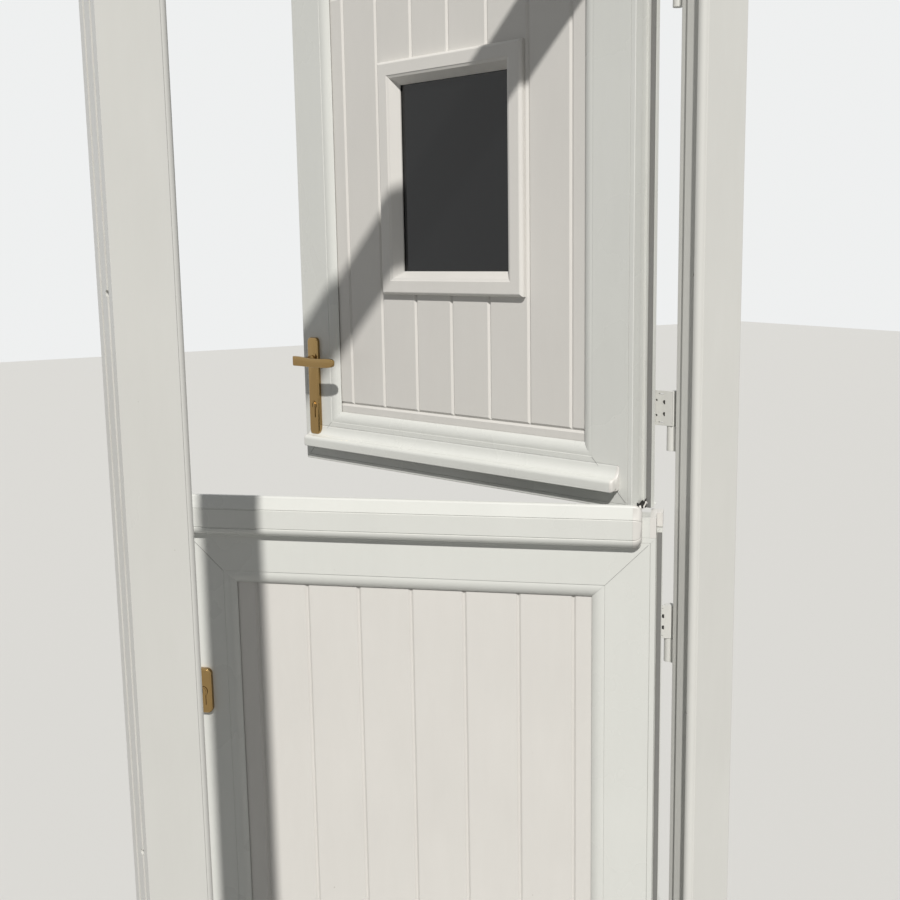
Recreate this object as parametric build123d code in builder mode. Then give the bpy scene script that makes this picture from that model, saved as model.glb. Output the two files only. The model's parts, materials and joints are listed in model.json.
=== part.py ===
from build123d import *
import os

os.makedirs("parts", exist_ok=True)

# Stable door in a hollow plastic frame, millimetres.
# X runs to the right seen from outside, Y into the building and Z up.
# The origin is the centre of the threshold's underside.

# Outer frame
FRAME_WIDTH = 950.0
FRAME_HEIGHT = 2100.0
FRAME_DEPTH = 74.0
NOSE_REACH = 83.0
NOSE_DEPTH = 12.5
REBATE_REACH = 68.5
SHOULDER_DEPTH = 54.5
BACK_REACH = 62.5
SILL_DROP = 43.0
OVOLO_WIDTH = 8.8
OVOLO_DEPTH = 8.2
STEP = 0.9
WALL = 2.8
WEB = 1.6
LUG_SLOT = 8.0
LUG_SLOT_DEPTH = 2.2

# Leaves
EDGE_GAP = 5.0
LEAF_SETBACK = 16.0
LEAF_DEPTH = 71.0
MEETING_HEIGHT = 1050.0
BOTTOM_LEAF_DROP = 57.6
TOP_LEAF_DROP = 20.5
SASH_FACE = 79.7
BEAD_WIDTH = 20.8
BEAD_DEPTH = 10.0
FACE_LINE = 8.8
PANEL_RECESS = 11.5
PANEL_THICKNESS = 28.0
PANEL_COVER = 18.5
PLATFORM = 78.0
FLANGE_OVERHANG = 9.6
FLANGE_SETBACK = 41.0
FLANGE_THICKNESS = 7.2
BEVEL_REACH = 8.5
EDGE_GROOVE_WIDTH = 16.0
EDGE_GROOVE_SETBACK = 17.5
EDGE_GROOVE_DEPTH = 2.8
SEAL_GAP = 0.4
GASKET_WIDTH = 9.0
GASKET_INSET = 1.2
GASKET_THICKNESS = 1.5
MITRE_GAP = 0.1

# Panels
GROOVE_PITCH = 89.8
GROOVE_SHIFT = 1.8
GROOVE_COUNT = 7
GROOVE_WIDTH = 5.0
GROOVE_DEPTH = 2.2
BORDER_STRIP = 17.0

# Window in the top panel
WINDOW_WIDTH = 342.0
WINDOW_HEIGHT = 415.5
WINDOW_RISE = 333.5
WINDOW_OFFSET = 4.0
SURROUND_WIDTH = 42.0
SURROUND_FLAT = 25.0
SURROUND_LIP = 30.5
SURROUND_PROUD = 11.5
CUTOUT_COVER = 28.0
GLASS_COVER = 31.0
GLASS_RECESS = 21.0
PANE_THICKNESS = 4.0
GLASS_UNIT = 20.0
SPACER_WIDTH = 9.0

# Hinges
HINGE_OFFSET = 20.5
HINGE_STANDOFF = 8.5
HINGE_INSET = 158.0
BARREL_RADIUS = 7.8
PIN_RADIUS = 4.0
PIN_CLEARANCE = 0.05
PLATE_HEIGHT = 56.0
PLATE_REACH = 62.0
PLATE_THICKNESS = 4.0
KNUCKLE_HEIGHT = 40.0
KNUCKLE_GAP = 0.5
BASE_THICKNESS = 3.0
BASE_WIDTH = 34.0
ARM_WIDTH = 11.0
SCREW_HOLE = (9.0, 9.6, 3.4)
SMALL_HOLE = (24.0, 12.3, 1.9)
FAR_HOLE = (46.0, 16.0, 2.6)
ADJUSTER_SLOT = (15.0, 23.0, 10.0, 1.8)
PIN_TOP_COVER = 3.0
PIN_TOP_GAP = 1.0

# Meeting rail
BAR_PROUD = 18.5
BAR_HEIGHT = 78.0
BAR_INSET = 21.5
BAR_NOSE_GAP = 3.2
BAR_CAP = 14.0
DRIP_PROUD = 21.0
DRIP_HEIGHT = 21.0
DRIP_RISE = 8.5
DRIP_HINGE_INSET = 24.5
DRIP_LOCK_INSET = 14.5
DRIP_CAP = 3.0
ADAPTOR_TOP_GAP = 4.5
BLOCK_LENGTH = 9.5
SEAL_THICKNESS = 2.6

# Lock and handles
BACKSET = 35.5
PLATE_WIDTH = 32.0
BACKPLATE_HEIGHT = 195.0
BACKPLATE_BELOW = 60.0
BACKPLATE_PROUD = 9.0
LEVER_RISE = 182.0
CYLINDER_DROP = 91.5
LEVER_LENGTH = 117.0
LEVER_HEIGHT = 16.0
LEVER_THICKNESS = 10.0
LEVER_STANDOFF = 42.0
NECK_RADIUS = 9.0
SPINDLE = 8.0
SPINDLE_HOLE = 6.5
ESCUTCHEON_HEIGHT = 80.0
BOTTOM_CYLINDER_DROP = 351.0
CYLINDER_RADIUS = 8.5
CYLINDER_TAB = 10.0
CYLINDER_HEIGHT = 33.0
CYLINDER_PROUD = 1.5
PLUG_RADIUS = 6.2
PLUG_CLEARANCE = 0.08
PLUG_LENGTH = 26.0
BOLT_THICKNESS = 11.0
BOLT_HEIGHT = 30.0
BOLT_LENGTH = 25.0
BOLT_THROW = 16.0
BOLT_DROP = 46.0
BOLT_SPACING = 600.0
BOLT_CLEARANCE = 0.3
POCKET_CLEARANCE = 1.0
FACEPLATE_THICKNESS = 2.4
KEEP_THICKNESS = 2.4
KEEP_HEIGHT = 90.0
JOINING_ROD = 5.0
JOINING_X = -250.0
ROD_STANDOFF = 12.0
ROD_LENGTH = 160.0
ROD_HEAD = 8.0
ROD_TIP_GAP = 4.0
CASE_WIDTH = 32.0
CASE_HEIGHT = 90.0
CASE_RISE = 6.0
CASE_THICKNESS = 3.0
GUIDE_WIDTH = 18.0
GUIDE_HEIGHT = 16.0
GUIDE_INSET = 6.0
KEEP_BLOCK = 28.0
KEEP_BLOCK_HEIGHT = 24.0

# Fixings through the jambs
FIXING_RADIUS = 4.0
FIXING_HEIGHTS = (250.0, 1850.0)
FIXING_INNER = (700.0, 1400.0)
FIXING_Y = -10.0

# How far each leaf stands open
TOP_ANGLE = 72.7
BOTTOM_ANGLE = 40.3

# Places that follow from the sizes above
FRAME_OUT = -FRAME_DEPTH / 2
FRAME_IN = FRAME_DEPTH / 2
LEAF_OUT = FRAME_OUT + LEAF_SETBACK
LEAF_IN = LEAF_OUT + LEAF_DEPTH
LEAF_HALF = FRAME_WIDTH / 2 - REBATE_REACH - EDGE_GAP
LEAF_FOOT = REBATE_REACH - SILL_DROP + EDGE_GAP
LEAF_HEAD = FRAME_HEIGHT - REBATE_REACH - EDGE_GAP
BOTTOM_TOP = MEETING_HEIGHT - BOTTOM_LEAF_DROP
TOP_FOOT = MEETING_HEIGHT - TOP_LEAF_DROP
PANEL_OUT = LEAF_OUT + PANEL_RECESS
PANEL_IN = PANEL_OUT + PANEL_THICKNESS
SASH_REACH = SASH_FACE + BEAD_WIDTH
FLANGE_FRONT = LEAF_OUT + FLANGE_SETBACK
FLANGE_BACK = FLANGE_FRONT + FLANGE_THICKNESS
GROOVE_Y = LEAF_OUT + EDGE_GROOVE_SETBACK + EDGE_GROOVE_WIDTH / 2
HINGE_X = LEAF_HALF + HINGE_OFFSET
HINGE_Y = LEAF_IN + HINGE_STANDOFF
HINGE_LINE = Axis((HINGE_X, HINGE_Y, 0), (0, 0, 1))
LOCK_X = -LEAF_HALF + BACKSET
LEVER_Z = MEETING_HEIGHT + LEVER_RISE
CYLINDER_Z = LEVER_Z - CYLINDER_DROP
BOTTOM_CYLINDER_Z = MEETING_HEIGHT - BOTTOM_CYLINDER_DROP
TOP_BOLTS_Z = (LEVER_Z - BOLT_DROP, LEVER_Z - BOLT_DROP + BOLT_SPACING)
BOTTOM_BOLT_Z = BOTTOM_CYLINDER_Z + BOLT_DROP
INTO = Vector(0, 1, 0)


def elevation(depth):
    """Plane facing outside at one depth, with X to the right and Z up."""
    return Plane(origin=(0, depth, 0), x_dir=(1, 0, 0), z_dir=(0, -1, 0))


def side_section(place):
    """Plane across the door's width, with depth to the right and Z up."""
    return Plane(origin=(place, 0, 0), x_dir=(0, 1, 0), z_dir=(1, 0, 0))


def end_points(place, direction, cut, reach, overhang):
    """Corner points of one end of a member: mitred, flush at the edge or square."""
    if cut == "mitre":
        return [(place - direction * overhang, -overhang), (place + direction * reach, reach)]
    if cut == "flush":
        return [(place, -overhang), (place, 0), (place + direction * reach, reach)]
    return [(place, -overhang), (place, reach)]


def member(draw_section, corner, run, length, start="mitre", end="mitre", reach=110, gap=0.0):
    """One side of a frame: a section run along its outer edge and cut at both ends."""
    section = draw_section()
    along = Vector(*run)
    inward = INTO.cross(along)
    overhang = 2 * FLANGE_OVERHANG
    begin = Vector(*corner) - along * overhang
    first = end_points(gap, 1, start, reach, overhang)
    last = end_points(length - gap, -1, end, reach, overhang)
    with BuildPart() as side:
        with BuildSketch(Plane(origin=begin, x_dir=inward, z_dir=along)):
            add(section)
        extrude(amount=length + 2 * overhang)
        with BuildSketch(Plane(origin=corner, x_dir=along, z_dir=INTO)):
            Polygon(*first, *reversed(last), align=None)
        extrude(amount=2 * FRAME_DEPTH, both=True, mode=Mode.INTERSECT)
    return side


def four_sides(draw_section, left, foot, right, head, gap=0.0):
    """Mitred members round a rectangle, in the order left, head, right and foot."""
    width = right - left
    height = head - foot
    reach = min(width, height) / 2
    return [
        member(draw_section, (left, 0, foot), (0, 0, 1), height, reach=reach, gap=gap),
        member(draw_section, (left, 0, head), (1, 0, 0), width, reach=reach, gap=gap),
        member(draw_section, (right, 0, head), (0, 0, -1), height, reach=reach, gap=gap),
        member(draw_section, (right, 0, foot), (-1, 0, 0), width, reach=reach, gap=gap),
    ]


def ring(draw_section, left, foot, right, head):
    """The four members of a rectangle joined into one moulding."""
    sides = four_sides(draw_section, left, foot, right, head)
    with BuildPart() as moulding:
        for side in sides:
            add(side.part)
    return moulding


def store(piece, name, open_angle=0.0):
    """Swing a piece about the hinge line to where its leaf stands, label it and write it."""
    if open_angle:
        piece.part = piece.part.rotate(HINGE_LINE, -open_angle)
    piece.part.label = name
    export_step(piece.part, f"parts/{name}.step")


def box_sketch(left, low, right, high, mode=Mode.ADD, radius=0.0):
    """Rectangle between two corners, with rounded corners where a radius is given."""
    with Locations(((left + right) / 2, (low + high) / 2)):
        if radius:
            RectangleRounded(right - left, high - low, radius, mode=mode)
        else:
            Rectangle(right - left, high - low, mode=mode)


# Sections of the extrusions, drawn from the outer edge inward and from outside to inside
def frame_section():
    """Hollow frame extrusion: nose, rebate, stepped back and five chambers."""
    nose_back = FRAME_OUT + NOSE_DEPTH
    shoulder = FRAME_OUT + SHOULDER_DEPTH
    ovolo_start = (NOSE_REACH - OVOLO_WIDTH, FRAME_OUT + STEP)
    ovolo_middle = (NOSE_REACH - OVOLO_WIDTH * 0.28, FRAME_OUT + STEP + OVOLO_DEPTH * 0.3)
    ovolo_end = (NOSE_REACH, FRAME_OUT + STEP + OVOLO_DEPTH)
    with BuildSketch() as section:
        with BuildLine():
            Polyline((0, FRAME_OUT), (NOSE_REACH - OVOLO_WIDTH - STEP, FRAME_OUT), ovolo_start)
            ThreePointArc(ovolo_start, ovolo_middle, ovolo_end)
            Polyline(
                ovolo_end,
                (NOSE_REACH, nose_back),
                (REBATE_REACH, nose_back),
                (REBATE_REACH, shoulder),
                (BACK_REACH, shoulder),
                (BACK_REACH, FRAME_IN),
                (0, FRAME_IN),
                (0, FRAME_OUT),
            )
        make_face()
        for middle in (-2 * LUG_SLOT, 2 * LUG_SLOT):
            half = LUG_SLOT / 2
            box_sketch(0, middle - half, LUG_SLOT_DEPTH, middle + half, mode=Mode.SUBTRACT)
        side = LUG_SLOT_DEPTH + WALL
        divide = BACK_REACH / 3
        box_sketch(side, FRAME_OUT + WALL, NOSE_REACH - OVOLO_WIDTH, nose_back - WALL, mode=Mode.SUBTRACT)
        box_sketch(side, nose_back - WALL + WEB, divide, FRAME_IN - WALL, mode=Mode.SUBTRACT)
        box_sketch(divide + WEB, nose_back - WALL + WEB, REBATE_REACH - WALL, 0, mode=Mode.SUBTRACT)
        box_sketch(divide + WEB, WEB, REBATE_REACH - WALL, shoulder - WALL, mode=Mode.SUBTRACT)
        box_sketch(divide + WEB, shoulder - WALL + WEB, BACK_REACH - WALL, FRAME_IN - WALL, mode=Mode.SUBTRACT)
    return section.sketch


def sash_section(flanged=True):
    """Hollow sash extrusion: ovolo glazing lip, edge groove, inner flange and four chambers."""
    bead_start = (SASH_FACE, LEAF_OUT + STEP)
    bead_middle = (SASH_FACE + BEAD_WIDTH * 0.68, LEAF_OUT + STEP + BEAD_DEPTH * 0.25)
    bead_end = (SASH_REACH, LEAF_OUT + BEAD_DEPTH - STEP)
    groove_low = LEAF_OUT + EDGE_GROOVE_SETBACK
    groove_high = groove_low + EDGE_GROOVE_WIDTH
    overhang = FLANGE_OVERHANG if flanged else 0.0
    bevel_start = BEVEL_REACH if flanged else 0.0
    back = FLANGE_BACK if flanged else LEAF_IN
    inner_corner = [(bevel_start, LEAF_IN), (-overhang, back), (-overhang, FLANGE_FRONT), (0, FLANGE_FRONT)]
    if not flanged:
        inner_corner = [(0, LEAF_IN)]
    with BuildSketch() as section:
        with BuildLine():
            Polyline(
                (STEP, LEAF_OUT),
                (FACE_LINE - STEP / 2, LEAF_OUT),
                (FACE_LINE, LEAF_OUT + STEP),
                (FACE_LINE + STEP / 2, LEAF_OUT),
                (SASH_FACE - STEP / 2, LEAF_OUT),
                bead_start,
            )
            ThreePointArc(bead_start, bead_middle, bead_end)
            Polyline(
                bead_end,
                (SASH_REACH, LEAF_OUT + BEAD_DEPTH),
                (PLATFORM, LEAF_OUT + BEAD_DEPTH),
                (PLATFORM, LEAF_IN),
                *inner_corner,
                (0, groove_high),
                (EDGE_GROOVE_DEPTH, groove_high),
                (EDGE_GROOVE_DEPTH, groove_low),
                (0, groove_low),
                (0, LEAF_OUT + STEP),
                (STEP, LEAF_OUT),
            )
        make_face()
        side = EDGE_GROOVE_DEPTH + WALL
        inner = PLATFORM - WALL
        front = LEAF_OUT + BEAD_DEPTH + WALL
        divide = side + BEVEL_REACH
        box_sketch(side, LEAF_OUT + WALL, inner, front - WEB, mode=Mode.SUBTRACT)
        box_sketch(side, front, divide, FLANGE_FRONT - WALL, mode=Mode.SUBTRACT)
        box_sketch(divide + WEB, front, inner, FLANGE_FRONT - WALL, mode=Mode.SUBTRACT)
        box_sketch(divide, FLANGE_FRONT - WALL + WEB, inner, LEAF_IN - WALL, mode=Mode.SUBTRACT)
    return section.sketch


def plain_sash_section():
    """Sash extrusion with its inner flange cut off, for the rail above the meeting joint."""
    return sash_section(flanged=False)


def bead_section():
    """Inside glazing bead: stands on the platform, rounded towards the panel."""
    front = PANEL_IN + GASKET_THICKNESS
    curve_start = (SASH_REACH, front + 6)
    curve_end = (PLATFORM + 9, LEAF_IN)
    with BuildSketch() as section:
        with BuildLine():
            Polyline((PLATFORM, LEAF_IN), (PLATFORM, front), (SASH_REACH, front), curve_start)
            ThreePointArc(curve_start, (SASH_REACH - 4.5, LEAF_IN - 7), curve_end)
            Line(curve_end, (PLATFORM, LEAF_IN))
        make_face()
    return section.sketch


def glazing_gasket_section():
    """Seal between the sash's glazing lip and the panel."""
    with BuildSketch() as section:
        box_sketch(SASH_REACH - GASKET_WIDTH, LEAF_OUT + BEAD_DEPTH, SASH_REACH - GASKET_INSET, PANEL_OUT)
    return section.sketch


def bead_gasket_section():
    """Wedge gasket between the panel and the inside bead."""
    with BuildSketch() as section:
        box_sketch(SASH_REACH - GASKET_WIDTH, PANEL_IN, SASH_REACH - GASKET_INSET, PANEL_IN + GASKET_THICKNESS)
    return section.sketch


def edge_gasket_section():
    """Seal on the outer side of the sash flange, short of the frame's shoulder."""
    front = FRAME_OUT + SHOULDER_DEPTH + SEAL_GAP
    with BuildSketch() as section:
        box_sketch(GASKET_INSET - FLANGE_OVERHANG, front, -1.0, FLANGE_FRONT)
    return section.sketch


def nose_gasket_section():
    """Seal behind the frame's nose, short of the leaf's face."""
    back = FRAME_OUT + NOSE_DEPTH
    tip = LEAF_OUT - SEAL_GAP
    with BuildSketch() as section:
        with BuildLine():
            Polyline((-1.5, back), (-8.5, back), (-7, tip))
            Polyline((-7, tip), (-3, tip), (-1.5, back))
        make_face()
    return section.sketch


def surround_section(face, proud, glass):
    """Section of a window surround, from its outer edge to the glass."""
    sign = -1 if proud < face else 1
    shoulder = (5.0, proud)
    lip_end = glass - sign * -0.8
    with BuildSketch() as section:
        with BuildLine():
            Polyline((0, face), (0, face + sign * 3))
            ThreePointArc((0, face + sign * 3), (1.4, proud - sign * 2.4), shoulder)
            Polyline(
                shoulder,
                (SURROUND_FLAT, proud),
                (SURROUND_FLAT + STEP, proud - sign * STEP),
                (SURROUND_FLAT + 5, proud - sign * 2.5),
                (SURROUND_WIDTH, lip_end + sign * 2.5),
                (SURROUND_WIDTH, lip_end),
                (SURROUND_LIP, lip_end),
                (SURROUND_LIP, face),
                (0, face),
            )
        make_face()
    return section.sketch


# Outer frame
half_width = FRAME_WIDTH / 2
jamb_lock = member(frame_section, (-half_width, 0, 0), (0, 0, 1), FRAME_HEIGHT, start="square")
head = member(frame_section, (-half_width, 0, FRAME_HEIGHT), (1, 0, 0), FRAME_WIDTH)
jamb_hinge = member(frame_section, (half_width, 0, FRAME_HEIGHT), (0, 0, -1), FRAME_HEIGHT, end="square")


def fixing_holes(side):
    """Cutter for the screw holes through a jamb into the wall, in two pairs."""
    with BuildPart() as holes:
        for height in FIXING_HEIGHTS + FIXING_INNER:
            with BuildSketch(Plane(origin=(0, FIXING_Y, height), x_dir=(0, 1, 0), z_dir=(side, 0, 0))):
                Circle(FIXING_RADIUS)
            extrude(amount=FRAME_WIDTH)
    return holes


def keep_recess(heights):
    """Cutter for the keep plates in the lock jamb and the pockets behind them for the bolts."""
    face = Plane(origin=(-half_width + REBATE_REACH, 0, 0), x_dir=(0, 1, 0), z_dir=(1, 0, 0))
    half = EDGE_GROOVE_WIDTH / 2
    bolt_half = BOLT_THICKNESS / 2 + POCKET_CLEARANCE
    bolt_rise = BOLT_HEIGHT / 2 + POCKET_CLEARANCE
    with BuildPart() as recess:
        for height in heights:
            with BuildSketch(face):
                box_sketch(GROOVE_Y - half, height - KEEP_HEIGHT / 2, GROOVE_Y + half, height + KEEP_HEIGHT / 2)
            extrude(amount=-KEEP_THICKNESS)
            with BuildSketch(face):
                box_sketch(GROOVE_Y - bolt_half, height - bolt_rise, GROOVE_Y + bolt_half, height + bolt_rise)
            extrude(amount=-(BOLT_THROW + 2))
    return recess


lock_holes = fixing_holes(-1)
hinge_holes = fixing_holes(1)
keep_pockets = keep_recess(TOP_BOLTS_Z + (BOTTOM_BOLT_Z,))
with jamb_lock:
    add(lock_holes.part, mode=Mode.SUBTRACT)
    add(keep_pockets.part, mode=Mode.SUBTRACT)
with jamb_hinge:
    add(hinge_holes.part, mode=Mode.SUBTRACT)
store(jamb_lock, "jamb_lock")
store(jamb_hinge, "jamb_hinge")
store(head, "head")

# Threshold, coped between the jambs
with BuildPart() as threshold:
    sill_nose = NOSE_REACH - SILL_DROP
    sill_rebate = REBATE_REACH - SILL_DROP
    sill_back = BACK_REACH - SILL_DROP
    nose_back = FRAME_OUT + NOSE_DEPTH
    shoulder = FRAME_OUT + SHOULDER_DEPTH
    with BuildSketch(side_section(-half_width + BACK_REACH)):
        with BuildLine():
            Polyline((FRAME_OUT, 0), (FRAME_OUT, sill_nose - OVOLO_DEPTH))
            ThreePointArc((FRAME_OUT, sill_nose - OVOLO_DEPTH),
                          (FRAME_OUT + OVOLO_DEPTH * 0.293, sill_nose - OVOLO_DEPTH * 0.293),
                          (FRAME_OUT + OVOLO_DEPTH, sill_nose))
            Polyline(
                (FRAME_OUT + OVOLO_DEPTH, sill_nose),
                (nose_back, sill_nose),
                (nose_back, sill_rebate),
                (shoulder, sill_rebate),
                (shoulder, sill_back),
                (FRAME_IN, sill_back),
                (FRAME_IN, 0),
                (FRAME_OUT, 0),
            )
        make_face()
        box_sketch(FRAME_OUT + WALL, WALL, -WEB, sill_back - WALL, mode=Mode.SUBTRACT)
        box_sketch(0, WALL, FRAME_IN - WALL, sill_back - WALL, mode=Mode.SUBTRACT)
    extrude(amount=FRAME_WIDTH - 2 * BACK_REACH)
    for side in (-1, 1):
        end = side * half_width
        with BuildSketch(Plane.XY.offset(-NOSE_REACH)):
            box_sketch(min(end, side * (half_width - NOSE_REACH)), FRAME_OUT - NOSE_DEPTH,
                       max(end, side * (half_width - NOSE_REACH)), nose_back)
            box_sketch(min(end, side * (half_width - REBATE_REACH)), FRAME_OUT - NOSE_DEPTH,
                       max(end, side * (half_width - REBATE_REACH)), shoulder)
        extrude(amount=2 * NOSE_REACH, mode=Mode.SUBTRACT)
store(threshold, "threshold")

nose_gasket = four_sides(
    nose_gasket_section,
    -half_width + NOSE_REACH, NOSE_REACH - SILL_DROP, half_width - NOSE_REACH, FRAME_HEIGHT - NOSE_REACH,
)
with BuildPart() as frame_gasket:
    for side in nose_gasket:
        add(side.part)
store(frame_gasket, "frame_nose_gasket")


def keep_plate(heights):
    """Flush plates in the lock jamb with a slot for each bolt."""
    face = -half_width + REBATE_REACH
    half = EDGE_GROOVE_WIDTH / 2
    bolt_half = BOLT_THICKNESS / 2 + BOLT_CLEARANCE
    with BuildPart() as plate:
        for height in heights:
            with BuildSketch(Plane(origin=(face, 0, 0), x_dir=(0, 1, 0), z_dir=(1, 0, 0))):
                box_sketch(GROOVE_Y - half, height - KEEP_HEIGHT / 2, GROOVE_Y + half, height + KEEP_HEIGHT / 2)
                box_sketch(GROOVE_Y - bolt_half, height - BOLT_HEIGHT / 2 - BOLT_CLEARANCE,
                           GROOVE_Y + bolt_half, height + BOLT_HEIGHT / 2 + BOLT_CLEARANCE, mode=Mode.SUBTRACT)
            extrude(amount=-KEEP_THICKNESS)
    return plate


store(keep_plate(TOP_BOLTS_Z), "keep_top")
store(keep_plate((BOTTOM_BOLT_Z,)), "keep_bottom")


# Flag hinges
def hinge_heights(foot, top):
    """Middle heights of the two hinge plates of a leaf."""
    return (foot + HINGE_INSET, top - HINGE_INSET)


def hinge_brackets(heights):
    """Frame halves: a base on the frame's inner face, an arm and the lower knuckle."""
    with BuildPart() as brackets:
        for height in heights:
            knuckle_top = height - PLATE_HEIGHT / 2 - KNUCKLE_GAP
            knuckle_foot = knuckle_top - KNUCKLE_HEIGHT
            base_left = HINGE_X + BARREL_RADIUS - ARM_WIDTH
            with BuildSketch(elevation(FRAME_IN)):
                box_sketch(base_left, knuckle_foot, base_left + BASE_WIDTH + ARM_WIDTH, height + PLATE_HEIGHT / 2,
                           radius=4)
            extrude(amount=-BASE_THICKNESS)
            with BuildSketch(elevation(FRAME_IN)):
                box_sketch(base_left, knuckle_foot, base_left + ARM_WIDTH, knuckle_top, radius=1)
            extrude(amount=-(HINGE_Y - FRAME_IN))
            with BuildSketch(Plane.XY.offset(knuckle_foot)):
                with Locations((HINGE_X, HINGE_Y)):
                    Circle(BARREL_RADIUS)
            extrude(amount=KNUCKLE_HEIGHT)
            with BuildSketch(Plane.XY.offset(knuckle_foot + BARREL_RADIUS)):
                with Locations((HINGE_X, HINGE_Y)):
                    Circle(PIN_RADIUS)
            extrude(amount=KNUCKLE_HEIGHT, mode=Mode.SUBTRACT)
    return brackets


def hinge_plates(heights):
    """Leaf halves: a drilled plate on the leaf's inner face and the upper knuckle."""
    with BuildPart() as plates:
        for height in heights:
            low = height - PLATE_HEIGHT / 2
            high = height + PLATE_HEIGHT / 2
            with BuildSketch(elevation(LEAF_IN)):
                box_sketch(HINGE_X - PLATE_REACH, low, HINGE_X, high, radius=2)
                for from_axis, rise, radius in (SCREW_HOLE, SMALL_HOLE, FAR_HOLE):
                    with Locations((HINGE_X - from_axis, height - rise), (HINGE_X - from_axis, height + rise)):
                        Circle(radius, mode=Mode.SUBTRACT)
                from_axis, rise, slot_length, slot_width = ADJUSTER_SLOT
                with Locations((HINGE_X - from_axis, height - rise), (HINGE_X - from_axis, height + rise)):
                    SlotOverall(slot_length, slot_width, mode=Mode.SUBTRACT)
            extrude(amount=-PLATE_THICKNESS)
            with BuildSketch(Plane.XY.offset(low)):
                with Locations((HINGE_X, HINGE_Y)):
                    Circle(BARREL_RADIUS)
                box_sketch(HINGE_X - BARREL_RADIUS, LEAF_IN, HINGE_X + 5.5, LEAF_IN + PLATE_THICKNESS)
            extrude(amount=PLATE_HEIGHT)
            with BuildSketch(Plane.XY.offset(low)):
                with Locations((HINGE_X, HINGE_Y)):
                    Circle(PIN_RADIUS + PIN_CLEARANCE)
            extrude(amount=PLATE_HEIGHT - PIN_TOP_COVER, mode=Mode.SUBTRACT)
    return plates


def hinge_pins(heights):
    """Pins fixed in the lower knuckles, standing up into the leaf knuckles."""
    with BuildPart() as pins:
        for height in heights:
            low = height - PLATE_HEIGHT / 2 - KNUCKLE_GAP - KNUCKLE_HEIGHT + BARREL_RADIUS
            with BuildSketch(Plane.XY.offset(low)):
                with Locations((HINGE_X, HINGE_Y)):
                    Circle(PIN_RADIUS)
            extrude(amount=height + PLATE_HEIGHT / 2 - PIN_TOP_COVER - PIN_TOP_GAP - low)
    return pins


BOTTOM_HINGES = hinge_heights(LEAF_FOOT, BOTTOM_TOP)
TOP_HINGES = hinge_heights(TOP_FOOT, LEAF_HEAD)
store(hinge_brackets(BOTTOM_HINGES), "hinge_brackets_bottom")
store(hinge_brackets(TOP_HINGES), "hinge_brackets_top")
store(hinge_pins(BOTTOM_HINGES + TOP_HINGES), "hinge_pins")
store(hinge_plates(BOTTOM_HINGES), "bottom_hinge_plates", BOTTOM_ANGLE)
store(hinge_plates(TOP_HINGES), "top_hinge_plates", TOP_ANGLE)


# Holes and pockets in the lock stiles
def euro_profile(grow, mode=Mode.ADD):
    """Outline of a profile cylinder round the point it is placed at."""
    Circle(CYLINDER_RADIUS + grow, mode=mode)
    with Locations((0, -(CYLINDER_HEIGHT - CYLINDER_RADIUS) / 2 - grow / 2)):
        Rectangle(CYLINDER_TAB + 2 * grow, CYLINDER_HEIGHT - CYLINDER_RADIUS + grow, mode=mode)


def cylinder_hole(height):
    """Cutter for a profile cylinder right through the stile."""
    with BuildPart() as hole:
        with BuildSketch(Plane(origin=(LOCK_X, 0, height), x_dir=(1, 0, 0), z_dir=(0, -1, 0))):
            euro_profile(0.5)
        extrude(amount=FRAME_DEPTH, both=True)
    return hole


def spindle_hole():
    """Cutter for the lever spindle right through the stile."""
    with BuildPart() as hole:
        with BuildSketch(Plane(origin=(LOCK_X, 0, LEVER_Z), x_dir=(1, 0, 0), z_dir=(0, -1, 0))):
            Circle(SPINDLE_HOLE)
        extrude(amount=FRAME_DEPTH, both=True)
    return hole


def bolt_pocket(heights):
    """Cutter for the bolts' pockets, opening on the leaf's edge."""
    half = BOLT_THICKNESS / 2 + BOLT_CLEARANCE
    rise = BOLT_HEIGHT / 2 + BOLT_CLEARANCE
    with BuildPart() as pocket:
        with BuildSketch(Plane(origin=(-LEAF_HALF, 0, 0), x_dir=(0, 1, 0), z_dir=(1, 0, 0))):
            for height in heights:
                box_sketch(GROOVE_Y - half, height - rise, GROOVE_Y + half, height + rise)
        extrude(amount=BOLT_LENGTH + POCKET_CLEARANCE)
    return pocket


# Bottom leaf
bottom_height = BOTTOM_TOP - LEAF_FOOT
leaf_width = 2 * LEAF_HALF
bottom_stile_lock, bottom_rail_top, bottom_stile_hinge, bottom_rail_foot = four_sides(
    sash_section, -LEAF_HALF, LEAF_FOOT, LEAF_HALF, BOTTOM_TOP)
bottom_hole = cylinder_hole(BOTTOM_CYLINDER_Z)
bottom_pocket = bolt_pocket((BOTTOM_BOLT_Z,))
with bottom_stile_lock:
    add(bottom_hole.part, mode=Mode.SUBTRACT)
    add(bottom_pocket.part, mode=Mode.SUBTRACT)
store(bottom_stile_lock, "bottom_stile_lock", BOTTOM_ANGLE)
store(bottom_rail_top, "bottom_rail_top", BOTTOM_ANGLE)
store(bottom_stile_hinge, "bottom_stile_hinge", BOTTOM_ANGLE)
store(bottom_rail_foot, "bottom_rail_foot", BOTTOM_ANGLE)

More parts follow.
